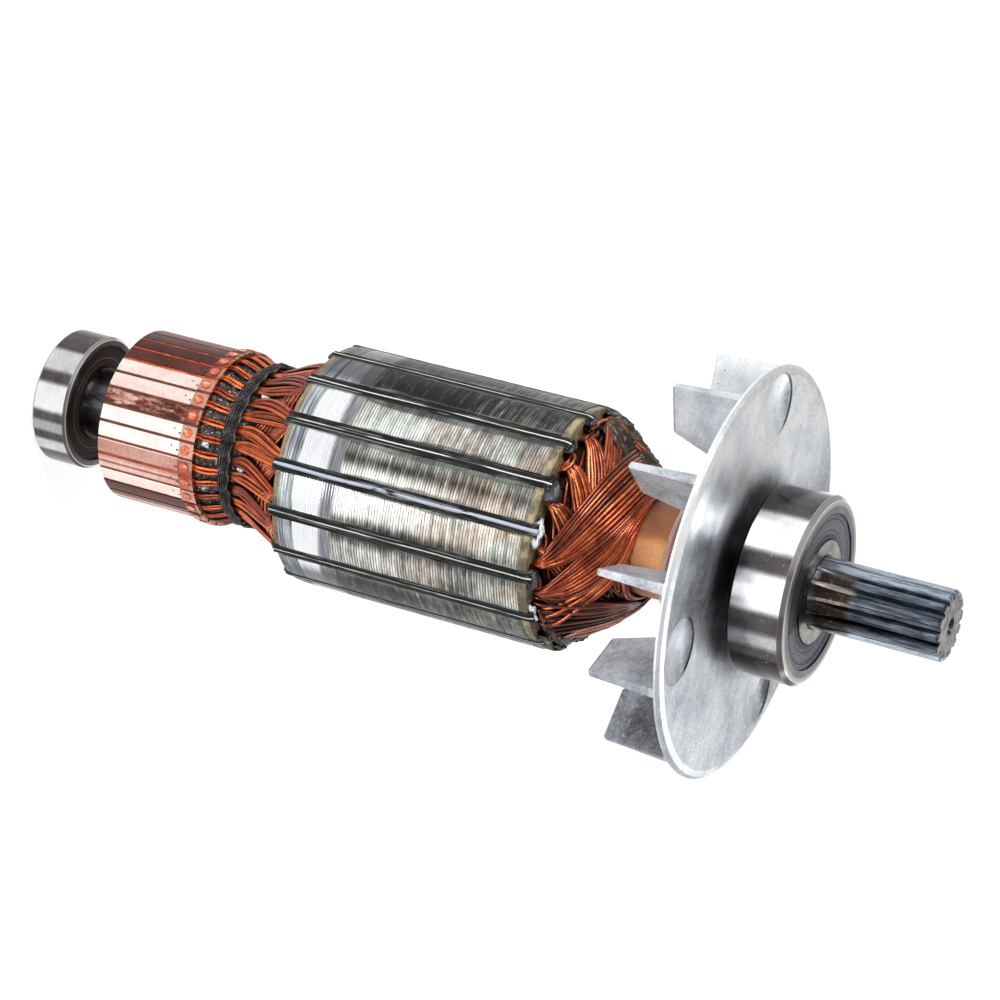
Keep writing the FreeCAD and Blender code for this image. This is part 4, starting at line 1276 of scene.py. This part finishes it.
def resin_lumps():
    for k in range(SLOTS):
        turn, ahead = rng.uniform(-1, 1), 0.6
        size = (0.45, 1.2 + 0.6 * rng.random(), 1.0 + 0.5 * rng.random())
        turn, ahead, size, silver = MOUTHS.get(k, (turn, ahead, size, k == 9))
        finish, roughness = (RESIN_SILVER, 0.75) if silver else (TAB, 0.35)
        place = at(20.0, k * SLOT_STEP + turn, Z_PLATE_FRONT + ahead)
        blob(f"slot_mouth_resin_{k}", place, size, finish, 3.1 * k, roughness)
        place = at(20.25, k * SLOT_STEP + 0.5 * turn, Z_PLATE_REAR - 0.55)
        size = (0.5, 1.1 + 0.3 * rng.random(), 0.7)
        blob(f"slot_end_resin_{k}", place, size, TAB, 5.3 * k, 0.35)
    for i, (degrees, sweep, high) in enumerate(CRUSTS):
        crust(f"edge_resin_{i}", degrees, sweep, -0.06, high, 7.7 + i)
    for i, (degrees, z) in enumerate(FLECKS):
        place = at(14.2 if z < Z_CORD else 13.7, degrees, z)
        blob(f"lead_fleck_{i}", place, (0.5, 0.75, 0.8), RESIN_SILVER, 21.0 + i, 0.8)


slot_strips()
slit_filling()
resin_lumps()


# Studio
FLOOR_GREY = 0.4
FLOOR_GLOW = 0.74        # what the camera, reflections and clear things see of the floor's own light
SKY_LIGHT = 0.5
SKY_SEEN = 0.6           # added to the sky where the camera sees it
MIDDLE = Vector((0, 0, 0.085))
LAMPS = (("key", (0.55, -0.75, 0.5), 0.4, 7.5),     # name, place in metres, side, watts
         ("front", (0.95, 0.25, 0.16), 0.3, 3.6),
         ("rim", (-0.5, 0.35, 0.6), 0.5, 2.0))


def studio():
    bpy.ops.mesh.primitive_plane_add(size=12.0, location=(0, 0, -0.0002))
    floor = bpy.context.object
    floor.name = "floor"
    material = bpy.data.materials.new("floor_white")
    material.use_nodes = True
    tree = material.node_tree
    tree.nodes.clear()
    path = add_node(tree, "ShaderNodeLightPath")
    seen = path.outputs["Is Camera Ray"]
    for ray in ("Is Glossy Ray", "Is Transmission Ray"):
        larger = add_node(tree, "ShaderNodeMath", {0: seen, 1: path.outputs[ray]}, operation="MAXIMUM")
        seen = larger.outputs[0]
    level = add_node(tree, "ShaderNodeMath", {0: seen, 1: FLOOR_GLOW}, operation="MULTIPLY")
    glow = add_node(tree, "ShaderNodeEmission", {"Strength": level.outputs[0]})
    grey = add_node(tree, "ShaderNodeBsdfDiffuse", {"Color": (FLOOR_GREY, FLOOR_GREY, FLOOR_GREY, 1)})
    both = add_node(tree, "ShaderNodeAddShader", {0: grey.outputs[0], 1: glow.outputs[0]})
    add_node(tree, "ShaderNodeOutputMaterial", {"Surface": both.outputs[0]})
    floor.data.materials.append(material)

    world = bpy.data.worlds.new("studio")
    bpy.context.scene.world = world
    world.use_nodes = True
    sky = world.node_tree
    sight = add_node(sky, "ShaderNodeLightPath")
    strength = add_node(sky, "ShaderNodeMath", operation="MULTIPLY_ADD",
                        inputs={0: sight.outputs["Is Camera Ray"], 1: SKY_SEEN, 2: SKY_LIGHT})
    sky.nodes["Background"].inputs["Color"].default_value = (1, 1, 1, 1)
    sky.links.new(strength.outputs[0], sky.nodes["Background"].inputs["Strength"])

    for name, place, side, watts in LAMPS:
        lamp = bpy.data.lights.new(name, "AREA")
        lamp.shape = "SQUARE"
        lamp.size = side
        lamp.energy = watts
        lamp_object = bpy.data.objects.new(name, lamp)
        lamp_object.location = place
        lamp_object.rotation_euler = (MIDDLE - Vector(place)).to_track_quat("-Z", "Y").to_euler()
        bpy.context.scene.collection.objects.link(lamp_object)


def camera():
    data = bpy.data.cameras.new("camera")
    data.lens = LENS
    data.sensor_width = SENSOR
    data.sensor_fit = "HORIZONTAL"
    data.clip_start = 0.01
    data.clip_end = 50.0
    view = bpy.data.objects.new("camera", data)
    turn = Matrix((CAMERA_RIGHT, CAMERA_UP, CAMERA_BACK)).transposed().to_4x4()
    view.matrix_world = Matrix.Translation(Vector(CAMERA_AT) * MM) @ turn
    bpy.context.scene.collection.objects.link(view)
    bpy.context.scene.camera = view


studio()
camera()
bpy.context.scene.view_settings.view_transform = "Standard"

bpy.context.view_layer.update()
